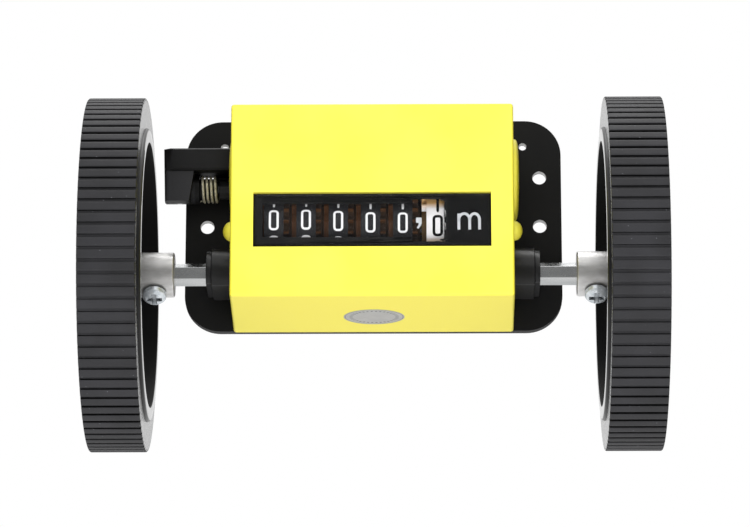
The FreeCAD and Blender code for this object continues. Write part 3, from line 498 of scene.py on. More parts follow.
def ring_mesh(rings, closed_outline):
    """Vertices and faces of outlines that follow each other round a full turn."""
    count = len(rings[0])
    vertices = [vertex for ring in rings for vertex in ring]
    faces = []
    for index in range(len(rings)):
        start = index * count
        following = (index + 1) % len(rings) * count
        for step in range(count if closed_outline else count - 1):
            after = (step + 1) % count
            faces.append((start + step, start + after, following + after, following + step))
    return vertices, faces


def lathe(name, outline, sides=96, centre=(0, 0), closed=True):
    """Form turned about an axis along X; the outline is (x, radius)."""
    rings = []
    for side in range(sides):
        angle = side * FULL_TURN / sides
        rings.append([
            (x, centre[0] + radius * math.cos(angle), centre[1] + radius * math.sin(angle))
            for x, radius in outline
        ])
    return mesh_object(name, *ring_mesh(rings, closed))


def stacked(name, rings):
    """Solid of outlines that follow each other, with a cap at both ends."""
    count = len(rings[0])
    vertices = [vertex for ring in rings for vertex in ring]
    last = len(vertices) - count
    faces = [tuple(range(count)), tuple(range(last, last + count))]
    for start in range(0, last, count):
        for index in range(count):
            after = (index + 1) % count
            faces.append((start + index, start + after, start + count + after, start + count + index))
    return mesh_object(name, vertices, faces)


def slab(name, outline, start, end, along):
    """Outline drawn out along X, as (y, z) points, along Y, as (x, z), or along Z, as (x, y)."""
    put = {
        "X": lambda a, b, c: (c, a, b),
        "Y": lambda a, b, c: (a, c, b),
        "Z": lambda a, b, c: (a, b, c),
    }[along]
    return stacked(name, [[put(a, b, depth) for a, b in outline] for depth in (start, end)])


def tube_mesh(paths, radius, fineness):
    """Mesh of round tubes; each path says whether it is closed and has its points."""
    data = bpy.data.curves.new("tubes", "CURVE")
    data.dimensions = "3D"
    data.bevel_depth = radius
    data.bevel_resolution = fineness
    data.use_fill_caps = True
    for closed, points in paths:
        spline = data.splines.new("POLY")
        spline.points.add(len(points) - 1)
        for place, point in zip(spline.points, points):
            place.co = Vector(point).to_4d()
        spline.use_cyclic_u = closed
    carrier = bpy.data.objects.new("tubes", data)
    mesh = bpy.data.meshes.new_from_object(carrier)
    bpy.data.objects.remove(carrier)
    return mesh


def circle(centre, radius, sides=48, turn=0.0):
    return [
        (
            centre[0] + radius * math.cos(turn + side * FULL_TURN / sides),
            centre[1] + radius * math.sin(turn + side * FULL_TURN / sides),
        )
        for side in range(sides)
    ]


def rectangle(first, second, third, fourth):
    return [(first, third), (second, third), (second, fourth), (first, fourth)]


def settled(thing):
    """Apply the modifiers of an object to its mesh."""
    graph = bpy.context.evaluated_depsgraph_get()
    mesh = bpy.data.meshes.new_from_object(thing.evaluated_get(graph))
    thing.modifiers.clear()
    thing.data = mesh
    return thing


def combined(thing, tools, operation="DIFFERENCE"):
    """Cut tools from an object or join them to it; the tools are used up."""
    for tool in tools:
        modifier = thing.modifiers.new("combine", "BOOLEAN")
        modifier.operation = operation
        modifier.solver = "EXACT"
        modifier.object = tool
        settled(thing)
        bpy.data.objects.remove(tool)
    return thing


def softened(thing, width, segments=2):
    """Round the sharp edges of an object and keep its flat faces evenly shaded."""
    bevel = thing.modifiers.new("soft_edges", "BEVEL")
    bevel.width = width * MM
    bevel.segments = segments
    bevel.limit_method = "ANGLE"
    bevel.angle_limit = SHARP_ANGLE
    bevel.miter_outer = "MITER_ARC"
    thing.modifiers.new("even_shade", "WEIGHTED_NORMAL").keep_sharp = True
    return thing


def on_side(thing, sign):
    """Leave a form as it was made, for the right-hand side, or mirror it for the left-hand one."""
    if sign < 0:
        thing.data.transform(Matrix.Scale(-1, 4, (1, 0, 0)))
        thing.data.flip_normals()
    return thing


def turned(thing, angle, axis):
    thing.data.transform(Matrix.Rotation(angle, 4, axis))
    return thing


def moved(thing, *place):
    thing.data.transform(Matrix.Translation(Vector(place) * MM))
    return thing


def dressed(thing, finish, body, replaces=()):
    """Give a piece its material, its body and the CAD nodes that it stands for."""
    thing.data.materials.clear()
    thing.data.materials.append(FINISH[finish])
    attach(thing, body)
    if replaces:
        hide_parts(*replaces)
    return thing


# Carried-over CAD nodes
def dress_nodes():
    """Material for every CAD node, with rounded edges on those that show."""
    slots = {item["node"]: item["material_slot"] for item in frame["record"]["subparts"]}
    soft_edges = {
        "chassis": 0.35, "reset_lever": 0.3, "window_bezel": 0.15, "window_lens": 0.1,
        "main_axle": 0.12, "tenths_gear": 0.08, "idler_gear": 0.08, "axle_gear": 0.08, "tenths_drum": 0.07,
    }
    # The reset shaft, seen only through a narrow gap, takes the darker spring steel as painted shade
    shaded_swaps = {"reset_shaft": "clip"}
    for name, node in frame["nodes"].items():
        node.data.materials.clear()
        node.data.materials.append(FINISH[shaded_swaps.get(name, slots[name])])
        shade(node.data)
        if name in soft_edges:
            weld = node.modifiers.new("weld", "WELD")
            weld.merge_threshold = MERGE_DISTANCE
            softened(node, soft_edges[name], 3)


# Measuring wheels
WHEEL_RADIUS = reach("right_tyre", 2)[1]
TYRE_IN, TYRE_OUT = reach("right_tyre", 0)
RIM_IN = reach("right_wheel", 0)[0] + 0.1
HUB_IN, HUB_OUT = reach("right_hub", 0)
HUB_RADIUS = reach("right_hub", 2)[1]
RIM_RADIUS = reach("right_wheel", 2)[1]
RIB_COUNT = 92
RIB_STEPS = 4
GROOVE_WIDTH = 1.0
GROOVE_DEPTH = 0.85
# Across and down a groove, as shares of half its width and of its depth
GROOVE_OUTLINE = ((-1.25, 0), (-1, 0.12), (-0.85, 0.92), (0, 1), (0.85, 0.92), (1, 0.12), (1.25, 0))
GROOVE_WALL = (WHEEL_RADIUS - GROOVE_DEPTH * 0.9, WHEEL_RADIUS - GROOVE_DEPTH * 0.14)
TREAD_EDGE = 0.45
RIM_THICKNESS = 4.5
DISH_RADIUS = RIM_RADIUS - RIM_THICKNESS
WEB_OUT = TYRE_OUT - 3.0
WEB_IN = WEB_OUT - 3.0
WHEEL_BOSS = (WEB_IN - 8.0, 10.5)


def tread_radii():
    """Angle and radius round the tread: a rounded groove, then a level rib."""
    places = []
    pitch = FULL_TURN / RIB_COUNT
    half = GROOVE_WIDTH / 2 / WHEEL_RADIUS
    shoulder = GROOVE_OUTLINE[-1][0] * half
    land = pitch - 2 * shoulder
    for rib in range(RIB_COUNT):
        for share, depth in GROOVE_OUTLINE:
            places.append((rib * pitch + share * half, WHEEL_RADIUS - depth * GROOVE_DEPTH))
        for step in range(1, RIB_STEPS):
            places.append((rib * pitch + shoulder + land * step / RIB_STEPS, WHEEL_RADIUS))
    return places


dull_middle(FINISH["wheel"], DISH_RADIUS + 0.25, 0.6, 0.16)
# Painted shade on the walls of the tread's grooves
shade_groove_walls(FINISH["tyre"], GROOVE_WALL, (TYRE_IN + 0.05, TYRE_OUT - 0.05), (9, 9, 9))


def make_tyre(name, sign):
    side = rounded(
        [
            (TYRE_IN, RIM_RADIUS), (TYRE_IN, WHEEL_RADIUS),
            (TYRE_OUT, WHEEL_RADIUS), (TYRE_OUT, RIM_RADIUS),
        ],
        TREAD_EDGE, closed=False, steps=3,
    )
    foot = WHEEL_RADIUS - GROOVE_DEPTH - TREAD_EDGE
    side = [side[0], (TYRE_IN, foot), *side[1:-1], (TYRE_OUT, foot), side[-1]]
    rings = [
        [
            (x, min(radius, tread) * math.cos(angle), min(radius, tread) * math.sin(angle))
            for x, radius in side
        ]
        for angle, tread in tread_radii()
    ]
    tyre = on_side(mesh_object(name + "_tread", *ring_mesh(rings, True)), sign)
    return dressed(tyre, "tyre", "axle", replaces=[name + "_tyre"])


def make_wheel(name, sign):
    boss_in, boss_radius = WHEEL_BOSS
    outline = rounded(
        [
            (boss_in, HUB_RADIUS), (boss_in, boss_radius),
            (WEB_IN, boss_radius), (WEB_IN, DISH_RADIUS - 0.5),
            (RIM_IN, DISH_RADIUS), (RIM_IN, RIM_RADIUS),
            (TYRE_OUT, RIM_RADIUS), (TYRE_OUT, DISH_RADIUS),
            (WEB_OUT, DISH_RADIUS - 0.3), (WEB_OUT, HUB_RADIUS),
        ],
        [0.3, 0.6, 1.4, 1.8, 0.3, 0.85, 0.4, 0.3, 1.2, 0.3],
    )
    wheel = on_side(lathe(name + "_wheel_moulding", outline, 144), sign)
    return dressed(wheel, "wheel", "axle", replaces=[name + "_wheel"])


# Hub and its clamp screw
HEX_FLATS = 6.0
HEX_TURN = math.radians(25.5)
HEX_FIT = 0.04
HUB_EDGE = 0.55
CLAMP_PLACE = HUB_IN + 5.8
CLAMP_ANGLE = math.radians(66.5)
CLAMP_HOLE = 2.1
CLAMP_HEAD = (HUB_RADIUS + 0.35, HUB_RADIUS + 2.9, 3.55)
CLAMP_SHANK = (3.4, 2.0)
CLAMP_RECESS = (1.2, 5.0, 1.5)
# Rise and share of the radius where a pan head's crown starts, and the height of its edge
PAN_CROWN = (0.1, 0.72)
PAN_EDGE = 1.1
RECESS_TAPER = 0.45


def hexagon(flats):
    return circle((0, 0), flats / 2 / math.cos(math.pi / 6), 6, math.pi - HEX_TURN)


def make_hub(name, sign):
    outline = rounded(
        [(HUB_IN, 0), (HUB_IN, HUB_RADIUS), (HUB_OUT, HUB_RADIUS), (HUB_OUT, 0)],
        HUB_EDGE, closed=False, steps=4,
    )
    hub = lathe(name + "_hub_collar", outline, closed=False)
    bore = slab("bore", hexagon(HEX_FLATS + HEX_FIT), HUB_IN - 1, HUB_OUT + 1, "X")
    hole = slab("hole", circle((CLAMP_PLACE, 0), CLAMP_HOLE, 32), -HUB_RADIUS - 2, 0, "Y")
    combined(hub, [bore, turned(hole, CLAMP_ANGLE, "X")])
    on_side(hub, sign)
    shade(hub.data)
    softened(hub, 0.15)
    return dressed(hub, "hub", "axle", replaces=[name + "_hub"])


def cross_recess(top, depth, span, width):
    """Two crossing tapered bars that cut a cross recess into a head facing the front."""
    bars = []
    for wide, high in ((span, width), (width, span)):
        rings = []
        for place, share in ((top - 1, 1.0), (top, 1.0), (top + depth, RECESS_TAPER)):
            slight = 1 - (1 - share) / 3
            half_wide = wide / 2 * (share if wide > high else slight)
            half_high = high / 2 * (share if high > wide else slight)
            corners = rectangle(-half_wide, half_wide, -half_high, half_high)
            rings.append([(x, place, z) for x, z in corners])
        bars.append(stacked("bar", rings))
    return bars


def facing_front(thing):
    """Turn a form made about X so that its low end points to the front."""
    return turned(thing, math.radians(90), "Z")


def pan_head(name, seat, top, radius, recess):
    """Screw head facing the front, from its seat to its top, with a cross recess."""
    rise, share = PAN_CROWN
    outline = rounded(
        [(top, 0), (top + rise, radius * share), (top + PAN_EDGE, radius), (seat, radius), (seat, 0)],
        [0, 1.3, 0.6, 0.2, 0], closed=False, steps=6,
    )
    head = facing_front(lathe(name, outline, 64, closed=False))
    return combined(head, cross_recess(top, *recess))


def make_clamp_screw(name, sign):
    seat, top, radius = CLAMP_HEAD
    tip, shank_radius = CLAMP_SHANK
    root = -seat - 0.3
    outline = [(root, 0), (root, shank_radius), (-tip, shank_radius), (-tip, 0)]
    shank = facing_front(lathe("shank", outline, 32, closed=False))
    screw = pan_head(name + "_clamp_screw_head", -seat, -top, radius, CLAMP_RECESS)
    combined(screw, [shank], "UNION")
    on_side(moved(turned(screw, CLAMP_ANGLE, "X"), CLAMP_PLACE, 0, 0), sign)
    shade(screw.data)
    softened(screw, 0.08)
    return dressed(screw, "screw", "axle", replaces=[name + "_clamp_screw"])


# Mounting plate
PLATE_X, PLATE_Y, PLATE_Z = [reach("base_plate", axis) for axis in range(3)]
PLATE_CORNER = 11.0
HOUSING_MIDDLE = sum(PLATE_X) / 2
# Distance from the plate's end, radius, sides and heights of the holes
MOUNT_HOLE = (6.6, 2.1, 48, (18.1, 33.5))
SMALL_HOLE = (11.6, 1.2, 32, (PLATE_Z[1] - 8.2,))
HOLE_EDGE = 0.35
HOLE_LINING = 0.04
SCREW_HEAD = 3.0
SCREW_SHANK = 1.45
SCREW_LENGTH = 8.0
SCREW_RECESS = (1.3, 3.4, 0.85)
COUNTERSINK = 1.7


def plate_holes():
    """Place, radius and sides of each hole beside the cover."""
    half = (PLATE_X[1] - PLATE_X[0]) / 2
    return [
        ((HOUSING_MIDDLE + sign * (half - inset), height), radius, sides)
        for sign in (-1, 1)
        for inset, radius, sides, heights in (MOUNT_HOLE, SMALL_HOLE)
        for height in heights
    ]


def plate_screw_places():
    low, high = reach("plate_screws", 0), reach("plate_screws", 2)
    return [(low[0] + SCREW_HEAD, high[0] + SCREW_HEAD), (low[1] - SCREW_HEAD, high[1] - SCREW_HEAD)]


def make_plate():
    outline = rounded(rectangle(*PLATE_X, *PLATE_Z), PLATE_CORNER, steps=16)
    plate = slab("mounting_plate", outline, *PLATE_Y, "Y")
    tools = [slab("hole", circle(*hole), PLATE_Y[0] - 1, PLATE_Y[1] + 1, "Y") for hole in plate_holes()]
    for place in plate_screw_places():
        sink = circle(place, SCREW_HEAD + 0.1, 40)
        tools.append(slab("hole", sink, PLATE_Y[1] - COUNTERSINK, PLATE_Y[1] + 1, "Y"))
    combined(plate, tools)
    shade(plate.data)
    softened(plate, 0.18, 3)
    return dressed(plate, "plate", "housing", replaces=["base_plate"])


def make_hole_walls():
    """Pale grey walls of the holes through the black-painted plate: a painted reflection."""
    front, back = PLATE_Y[0] + HOLE_EDGE, PLATE_Y[1] - HOLE_EDGE
    vertices = []
    faces = []
    for place, radius, _ in plate_holes():
        rings = [
            [(x, y, z) for x, z in circle(place, radius - lining)]
            for y, lining in ((front, HOLE_LINING), (back, HOLE_LINING), (back, 0.0), (front, 0.0))
        ]
        first = len(vertices)
        more, around = ring_mesh(rings, True)
        vertices += more
        faces += [tuple(first + corner for corner in face) for face in around]
    walls = mesh_object("plate_hole_walls", vertices, faces)
    return dressed(walls, "hole_wall_reflection", "housing")


def make_plate_screws():
    """Countersunk screws, flush with the plate's back."""
    back = PLATE_Y[1]
    neck, tip = COUNTERSINK - back, SCREW_LENGTH - back
    outline = rounded(
        [(-back, 0), (-back, SCREW_HEAD), (neck, SCREW_SHANK), (tip, SCREW_SHANK), (tip, 0)],
        [0, 0.15, 0, 0.3, 0], closed=False, steps=3,
    )
    pair = []
    for x, z in plate_screw_places():
        screw = facing_front(lathe("plate_screw_pair", outline, 48, closed=False))
        combined(screw, cross_recess(-back, *SCREW_RECESS))
        pair.append(moved(turned(screw, math.pi, "Z"), x, 0, z))
    joined = combined(pair[0], pair[1:], "UNION")
    shade(joined.data)
    return dressed(joined, "screw", "housing", replaces=["plate_screws"])


# Front cover
COVER_Y = reach("front_cover", 1)
COVER_Z = reach("front_cover", 2)
COVER_HALF = 41.7
COVER_DRAFT = 0.45
COVER_WALL = 1.8
COVER_EDGE = 0.9
WINDOW_X = (reach("window_lens", 0)[0] - 0.6, reach("window_lens", 0)[1] + 0.65)
WINDOW_Z = (reach("window_lens", 2)[0] - 0.6, reach("window_lens", 2)[1] + 0.75)
DOME_AXIS = (COVER_Y[1] - 13.0, RESET_AXIS[1] + 0.15)
DOME_RADIUS = 12.35
DOME_POWER = 4.5
TOWER = (8.1, 5.3)
TOWER_SLOT = (39, 46)
LEVER_BORE = (48, 39)
SHAFT_HOLE = 1.75
LEVER_HOLE = 3.35
COVER_SCREW_TIP = 31.5
COVER_SCREW_SHANK = 1.25
COVER_SCREW_HEAD = (2.6, 3.0)


def cover_half_at(depth):
    share = (depth - COVER_Y[0]) / (COVER_Y[1] - COVER_Y[0])
    return COVER_HALF + COVER_DRAFT * share


def cover_box(inset, back, corner):
    """Box with rounded corners, a little wider at the back than in front."""
    front = COVER_Y[0] + inset
    angles = [step * math.pi / 10 for step in range(6)]
    levels = [
        (front + corner * (1 - math.cos(angle)), corner * (1 - math.sin(angle)))
        for angle in angles
    ]
    rings = []
    for y, draw in levels + [(back, 0.0)]:
        half = cover_half_at(min(y, COVER_Y[1])) - inset - draw
        low, high = COVER_Z[0] + inset + draw, COVER_Z[1] - inset - draw
        box = rectangle(HOUSING_MIDDLE - half, HOUSING_MIDDLE + half, low, high)
        rings.append([(x, y, z) for x, z in rounded(box, max(corner - draw, 0.02))])
    return stacked("front_cover_shell", rings)


def tower_outline(radius, flat, back):
    """Round in front, flat below, straight back to the plate."""
    drop = math.asin(flat / radius)
    arc = [
        (-radius * math.cos(angle), radius * math.sin(angle))
        for angle in [-drop + (math.pi / 2 + drop) * step / 24 for step in range(25)]
    ]
    return arc + [(back, radius), (back, -flat)]


def dome_outline(root, foot, top):
    """Low dome on a side wall: nearly flat in the middle and falling ever faster towards its edge."""
    rise = []
    for step in range(17):
        share = math.sin(step * math.pi / 32)
        height = (top - foot) * (1 - share ** DOME_POWER) ** (1 / DOME_POWER)
        rise.append((foot + height, DOME_RADIUS * share))
    return rise + [(root, DOME_RADIUS), (root, 0)]


def make_cover():
    cover = cover_box(0, COVER_Y[1], COVER_EDGE)
    combined(cover, [cover_box(COVER_WALL, COVER_Y[1] + 1, 0.3)])
    half = cover_half_at(DOME_AXIS[0])
    for sign, side in zip((-1, 1), reach("front_cover", 0)):
        outline = dome_outline(half - COVER_WALL / 2, half - 0.1, abs(side - HOUSING_MIDDLE))
        dome = on_side(lathe("dome", outline, 96, DOME_AXIS, closed=False), sign)
        combined(cover, [moved(dome, HOUSING_MIDDLE, 0, 0)], "UNION")
    tools = [slab("window", rectangle(*WINDOW_X, *WINDOW_Z), COVER_Y[0] - 1, COVER_Y[0] + 3, "Y")]
    for sign in (-1, 1):
        ends = sorted(HOUSING_MIDDLE + sign * place for place in TOWER_SLOT)
        tools.append(slab("slot", tower_outline(*TOWER, COVER_Y[1] + 1), *ends, "X"))
        tools.append(slab("hole", circle(DRUM_AXIS, SHAFT_HOLE, 32), *ends, "X"))
    ends = [HOUSING_MIDDLE - place for place in LEVER_BORE]
    tools.append(slab("hole", circle(RESET_AXIS, LEVER_HOLE), *ends, "X"))
    combined(cover, tools)
    shade(cover.data)
    softened(cover, 0.12, 2)
    return dressed(cover, "cover", "housing", replaces=["front_cover"])


def make_cover_screw(name, sign):
    """Round head on the end of the drum shaft."""
    seat = cover_half_at(DRUM_AXIS[0]) + 0.05
    rise, radius = COVER_SCREW_HEAD
    angles = [step * math.pi / 16 for step in range(9)]
    dome = [(seat + rise * math.sin(angle), radius * math.cos(angle)) for angle in angles]
    shank = [(COVER_SCREW_TIP, 0), (COVER_SCREW_TIP, COVER_SCREW_SHANK), (seat, COVER_SCREW_SHANK)]
    head = on_side(lathe(name + "_cover_screw_head", shank + dome, 56, DRUM_AXIS, closed=False), sign)
    moved(head, HOUSING_MIDDLE, 0, 0)
    shade(head.data)
    return dressed(head, "cover", "housing", replaces=[name + "_cover_screw"])


# Stroke signs: digits on the drums, comma and unit beside them
DIGIT_STROKES = {
    0: [(True, [(-1, -1), (1, -1), (1, 1), (-1, 1)])],
    1: [(False, [(-0.6, 0.66), (0, 1), (0, -1.08)]), (False, [(-0.24, -1.08), (0.24, -1.08)])],
    2: [(False, [(-1, 0.5), (-1, 1), (1, 1), (1, 0.15), (-1, -1), (1, -1)])],
    3: [
        (False, [(-1, 0.6), (-1, 1), (1, 1), (1, 0.06), (-0.3, 0.06)]),
        (False, [(-0.3, 0.06), (1, 0.06), (1, -1), (-1, -1), (-1, -0.6)]),
    ],
    4: [(False, [(0, 1), (-1, -0.4), (1, -0.4)]), (False, [(0.45, 0.15), (0.45, -1)])],
    5: [(False, [(0.9, 1), (-0.9, 1), (-0.9, 0.15), (1, 0.15), (1, -1), (-1, -1), (-1, -0.6)])],
    6: [(False, [(1, 0.65), (1, 1), (-1, 1), (-1, -1), (1, -1), (1, 0.1), (-1, 0.1)])],
    7: [(False, [(-1, 1), (1, 1), (-0.25, -1)])],
    8: [
        (True, [(-0.92, 0.08), (0.92, 0.08), (0.92, 1), (-0.92, 1)]),
        (True, [(-1, -1), (1, -1), (1, 0.08), (-1, 0.08)]),
    ],
    9: [(False, [(-1, -0.65), (-1, -1), (1, -1), (1, 0.9), (-1, 0.9), (-1, -0.1), (1, -0.1)])],
}
STROKE_WIDTH = 0.66
STROKE_STEP = 0.35
STROKE_FINENESS = 3
DIGIT_HALF_WIDTH = 1.14
DIGIT_HALF_HEIGHT = 2.8
DIGIT_CORNER = 0.8
INK_LIFT = 0.035
RIM_MIDDLE = 4.25
TENTHS_MIDDLE = 4.7
TENTHS_STROKE_WIDTH = 0.82
DRUM_RADIUS = (reach("tenths_drum", 2)[1] - reach("tenths_drum", 2)[0]) / 2
REST_ANGLES = (-0.3, 0.4, -1.7, -4.0, -4.6)
TENTHS_REST_ANGLE = -9.1


def stepped(points, closed):
    """Points at short steps along an outline, so that it can be laid round a drum."""
    ends = points + points[:1] if closed else points
    result = []
    for start, end in zip(ends, ends[1:]):
        start, end = Vector(start), Vector(end)
        steps = max(1, math.ceil((end - start).length / STROKE_STEP))
        result += [start.lerp(end, step / steps) for step in range(steps)]
    return result if closed else result + [Vector(ends[-1])]


def digit_strokes(digit):
    strokes = []
    for closed, points in DIGIT_STROKES[digit]:
        placed = [(x * DIGIT_HALF_WIDTH, y * DIGIT_HALF_HEIGHT) for x, y in points]
        strokes.append((closed, stepped(rounded(placed, DIGIT_CORNER, closed), closed)))
    return strokes


def make_numerals(name, body, middle, rest_angle, ink, width=STROKE_WIDTH):
    """Ten digits laid round a drum, as one piece that turns with it."""
    vertices = []
    faces = []
    for digit in range(10):
        flat = tube_mesh(digit_strokes(digit), width / 2, STROKE_FINENESS)
        turn = math.radians(rest_angle) + digit * FULL_TURN / 10
        first = len(vertices)
        for vertex in flat.vertices:
            along, up, out = vertex.co
            angle = turn + up / DRUM_RADIUS
            radius = DRUM_RADIUS + out * INK_LIFT * 2 / width
            across, height = radius * math.cos(angle), radius * math.sin(angle)
            vertices.append((middle + along, DRUM_AXIS[0] - across, DRUM_AXIS[1] + height))
        faces += [tuple(first + corner for corner in face.vertices) for face in flat.polygons]
    numerals = mesh_object(name + "_numerals", vertices, faces)
    return dressed(numerals, ink, body)


# Printed signs on the mask: places along X and up Z
COMMA_OUTLINE = [
    (12.2, 9.02), (13.86, 9.02), (13.86, 7.15), (13.6, 6.5), (12.95, 5.62), (12.35, 5.86),
    (12.95, 6.75), (13.0, 7.4), (12.2, 7.4),
]
COMMA_CORNER = 0.22
BEZEL_FRONT = reach("window_bezel", 1)[0]
UNIT_STEMS = (24.77, 27.95, 30.84)
UNIT_HEIGHTS = (5.3, 10.2)
UNIT_STROKE = 0.82
UNIT_ARCH = 1.9


def make_comma():
    outline = rounded(COMMA_OUTLINE, COMMA_CORNER)
    comma = slab("decimal_comma", outline, BEZEL_FRONT - INK_LIFT, BEZEL_FRONT, "Y")
    return dressed(comma, "grey_ink", "housing")


def make_unit_sign():
    """Stem and two arches, printed on the mask."""
    left, middle, right = UNIT_STEMS
    low, high = UNIT_HEIGHTS
    strokes = [(False, [(left, low), (left, high)])]
    for start, end in ((left, middle), (middle, right)):
        half = (end - start) / 2
        angles = [step * math.pi / 16 for step in range(17)]
        arch = [
            (start + half * (1 - math.cos(angle)), high - UNIT_ARCH * (1 - math.sin(angle)))
            for angle in angles
        ]
        strokes.append((False, arch + [(end, low)]))
    flat = tube_mesh(strokes, UNIT_STROKE / 2, STROKE_FINENESS)
    lift = INK_LIFT * 2 / UNIT_STROKE
    vertices = [(along, BEZEL_FRONT + out * lift, up) for along, up, out in (v.co for v in flat.vertices)]
    sign = mesh_object("unit_sign", vertices, [tuple(face.vertices) for face in flat.polygons])
    return dressed(sign, "grey_ink", "housing")


# Left side, right side and notch bottom along X; ends and notches up Z
BEZEL_TRIM = (20.5, 21.5, 21.1)
BEZEL_TRIM_ENDS = (2.45, 14.45)
BEZEL_NOTCHES = ((5.15, 7.73), (9.08, 11.54))
BEZEL_TRIM_CORNER = 0.9
BEZEL_TRIM_LIP = (1.2, 0.4)
BEZEL_TRIM_DEPTHS = (BEZEL_FRONT - 0.03, BEZEL_FRONT + 0.5)
NOTCH_SLOPE = 0.3
NOTCH_RADII = [0.3, 0.7, 0.7, 0.3]


def make_bezel_trim():
    """Edge strip of the mask beside the last drum, with two notches that its teeth show through."""
    left, right, notch = BEZEL_TRIM
    low, high = BEZEL_TRIM_ENDS
    lap, lip = BEZEL_TRIM_LIP
    outline = [(right, low - lip), (left - lap, low - lip), (left - lap, low), (left, low)]
    radii = [0, 0, 0, BEZEL_TRIM_CORNER]
    for start, end in BEZEL_NOTCHES:
        bottom = (notch, start + NOTCH_SLOPE), (notch, end - NOTCH_SLOPE)
        outline += [(left, start), *bottom, (left, end)]
        radii += NOTCH_RADII
    outline += [(left, high), (left - lap, high), (left - lap, high + lip), (right, high + lip)]
    radii += [BEZEL_TRIM_CORNER, 0, 0, 0]
    trim = slab("bezel_trim", rounded(outline, radii), *BEZEL_TRIM_DEPTHS, "Y")
    return dressed(trim, "bezel", "housing")


LABEL_CENTRE = (-0.35, -6.8)
LABEL_RADII = (9.05, 7.9)
LABEL_THICKNESS = 0.07


def make_label():
    """Oval silver label on the cover's bottom, with a ring of plain ticks near its edge."""
    add_ticks(FINISH["label"], LABEL_CENTRE, LABEL_RADII, (104, 104, 102))
    outline = [
        (LABEL_CENTRE[0] + LABEL_RADII[0] * x, LABEL_CENTRE[1] + LABEL_RADII[1] * y)
        for x, y in circle((0, 0), 1, 96)
    ]
    label = slab("oval_label", outline, COVER_Z[0] - LABEL_THICKNESS, COVER_Z[0], "Z")
    softened(label, 0.03)
    return dressed(label, "label", "housing")


# Reset spring
SPRING_WIRE = 0.8
SPRING_TURNS = 4
SPRING_PITCH = 1.25
SPRING_RADIUS = 3.75
SPRING_LEG = 2.6
SPRING_STEPS = 40
SLEEVE_INSETS = (0.1, 0.45)
SLEEVE_INSIDE = 2.85
SLEEVE_OUTSIDE = SPRING_RADIUS - SPRING_WIRE / 2 - 0.08


def spring_points():
    left = reach("reset_spring", 0)[0] + SPRING_WIRE / 2
    steps = SPRING_TURNS * SPRING_STEPS
    coil = []
    for step in range(steps + 1):
        angle = step * FULL_TURN / SPRING_STEPS
        coil.append(Vector((
            left + SPRING_PITCH * step / SPRING_STEPS,
            RESET_AXIS[0] + SPRING_RADIUS * math.cos(angle),
            RESET_AXIS[1] + SPRING_RADIUS * math.sin(angle),
        )))
    first_way = (coil[0] - coil[1]).normalized()
    last_way = (coil[-1] - coil[-2]).normalized()
    return [coil[0] + first_way * SPRING_LEG] + coil + [coil[-1] + last_way * SPRING_LEG]


def make_spring():
    points = [point * MM for point in spring_points()]
    mesh = tube_mesh([(False, points)], SPRING_WIRE / 2 * MM, 4)
    spring = placed("coil_spring", mesh)
    shade(mesh)
    mesh.materials.append(FINISH["spring"])
    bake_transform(spring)
    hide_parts("reset_spring")


def make_spring_sleeve():
    """Thin sleeve on the lever's boss that fills the coil's inside and turns with the lever."""
    left, right = reach("reset_spring", 0)
    start, end = left + SLEEVE_INSETS[0], right - SLEEVE_INSETS[1]
    outline = rectangle(start, end, SLEEVE_INSIDE, SLEEVE_OUTSIDE)
    return dressed(lathe("spring_sleeve", outline, 64, RESET_AXIS), "lever", "reset")


# Camera: the photograph's view, a little from below and from the right
CAMERA_DISTANCE = 1227.0
CAMERA_RISE = math.radians(-16.5)
CAMERA_SIDE = 12.9
CAMERA_AIM = (-0.15, 3.3)
CAMERA_LENS = 196.5


def aim(thing, place, target):
    """Put a camera or lamp in its place and turn it to a target."""
    thing.location = place
    thing.rotation_mode = "QUATERNION"
    thing.rotation_quaternion = (Vector(target) - Vector(place)).to_track_quat("-Z", "Y")


def make_camera():
    data = bpy.data.cameras.new("camera")
    data.lens = CAMERA_LENS
    data.clip_start = 0.05
    data.clip_end = 60
    camera = placed("camera", data)
    bpy.context.scene.camera = camera
    back = Vector((0, -math.cos(CAMERA_RISE), math.sin(CAMERA_RISE)))
    up = Vector((0, math.sin(CAMERA_RISE), math.cos(CAMERA_RISE)))
    place = (back * CAMERA_DISTANCE + Vector((CAMERA_SIDE, 0, 0))) * MM
    target = (up * CAMERA_AIM[1] + Vector((CAMERA_AIM[0], 0, 0))) * MM
    aim(camera, place, target)


# Floor, lamps and world, in metres
FLOOR_DROP = 0.75
FLOOR_HALF = 8.0
FLOOR_SHEEN = ((0.0, 0.26), (0.4, 0.28), (0.44, 0.62), (0.5, 0.78), (1.0, 0.95))
WORLD_FRONT = (
    (0.0, 0.65), (0.45, 0.28), (0.56, 0.26), (0.64, 0.2), (0.7, 0.3), (0.75, 0.95), (1.0, 1.0),
)
WORLD_LIGHT = 0.62
# Name, place, size, power and whether it is mirrored in gloss
LAMPS = (
    ("key_lamp", (-0.35, -1.5, 0.75), 1.1, 7.5, False),
    ("fill_lamp", (0.45, -1.5, 0.1), 1.0, 3, False),
    ("low_lamp", (0.05, -0.75, -0.6), 0.6, 7, False),
    ("top_lamp", (0.0, 0.35, 1.5), 1.0, 6, True),
)


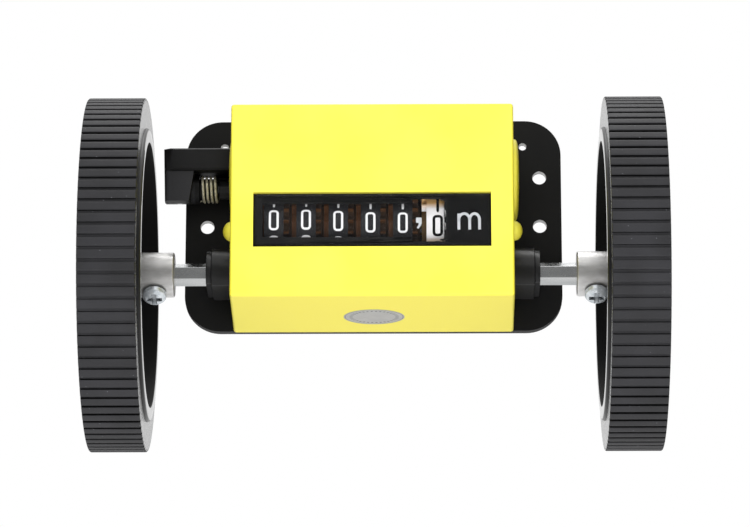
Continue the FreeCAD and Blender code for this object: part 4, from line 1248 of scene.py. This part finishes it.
def make_floor():
    mesh = bpy.data.meshes.new("floor")
    corners = rectangle(-FLOOR_HALF, FLOOR_HALF, -FLOOR_HALF, FLOOR_HALF)
    mesh.from_pydata([(x, y, -FLOOR_DROP) for x, y in corners], [], [(0, 1, 2, 3)])
    floor = placed("floor", mesh)
    made = surface("pale_floor", (238, 238, 238), (244, 244, 244), (0.7, 0.8), 400, 8, 0.05)
    tree = made.node_tree
    sheen = tree.nodes.new("ShaderNodeEmission")
    depth = split(tree, "ShaderNodeTexCoord", "Generated")[1]
    tree.links.new(grey_ramp(tree, depth, FLOOR_SHEEN), sheen.inputs["Color"])
    rays = tree.nodes.new("ShaderNodeLightPath").outputs
    mirror = calculated(tree, "MAXIMUM", rays["Is Glossy Ray"], rays["Is Transmission Ray"])
    both = tree.nodes.new("ShaderNodeMixShader")
    tree.links.new(mirror, both.inputs["Fac"])
    tree.links.new(tree.nodes["Principled BSDF"].outputs["BSDF"], both.inputs[1])
    tree.links.new(sheen.outputs["Emission"], both.inputs[2])
    tree.links.new(both.outputs["Shader"], tree.nodes["Material Output"].inputs["Surface"])
    mesh.materials.append(made)


def make_lamp(name, place, size, power, mirrored_in_gloss):
    data = bpy.data.lights.new(name, "AREA")
    data.shape = "SQUARE"
    data.size = size
    data.energy = power
    lamp = placed(name, data)
    lamp.visible_glossy = mirrored_in_gloss
    aim(lamp, place, (0, 0, 0))


def make_world():
    """White for what looks at it or mirrors it, and dimmer for the light that it casts."""
    world = bpy.data.worlds.new("studio")
    bpy.context.scene.world = world
    world.use_nodes = True
    tree = world.node_tree
    rays = tree.nodes.new("ShaderNodeLightPath").outputs
    shown = calculated(tree, "MAXIMUM", rays["Is Camera Ray"], rays["Is Transmission Ray"])
    _, y, z = split(tree, "ShaderNodeTexCoord", "Generated")
    front = grey_ramp(tree, rescaled(tree, z, -1, 1), WORLD_FRONT)
    mirror = mixed(tree, rescaled(tree, y, -0.2, 0.2), front, grey(1))
    light = mixed(tree, rays["Is Glossy Ray"], grey(WORLD_LIGHT), mirror)
    tree.links.new(mixed(tree, shown, light, grey(1)), tree.nodes["Background"].inputs["Color"])


def make_studio():
    bpy.context.scene.view_settings.view_transform = "Standard"
    make_world()
    for lamp in LAMPS:
        make_lamp(*lamp)
    make_floor()
    make_camera()


def make_object():
    dress_nodes()
    for name, sign in SIDES:
        make_tyre(name, sign)
        make_wheel(name, sign)
        make_hub(name, sign)
        make_clamp_screw(name, sign)
        make_cover_screw(name, sign)
    make_plate()
    make_hole_walls()
    make_plate_screws()
    make_cover()
    make_label()
    for name, angle in zip(BLACK_DRUMS, REST_ANGLES):
        make_numerals(name, name, reach(name + "_drum", 0)[0] + RIM_MIDDLE, angle, "white_ink")
    middle = reach("tenths_drum", 0)[0] + TENTHS_MIDDLE
    make_numerals("tenths", "tenths", middle, TENTHS_REST_ANGLE, "black_ink", TENTHS_STROKE_WIDTH)
    make_comma()
    make_unit_sign()
    make_bezel_trim()
    make_spring()
    make_spring_sleeve()


make_studio()
make_object()
bpy.context.view_layer.update()
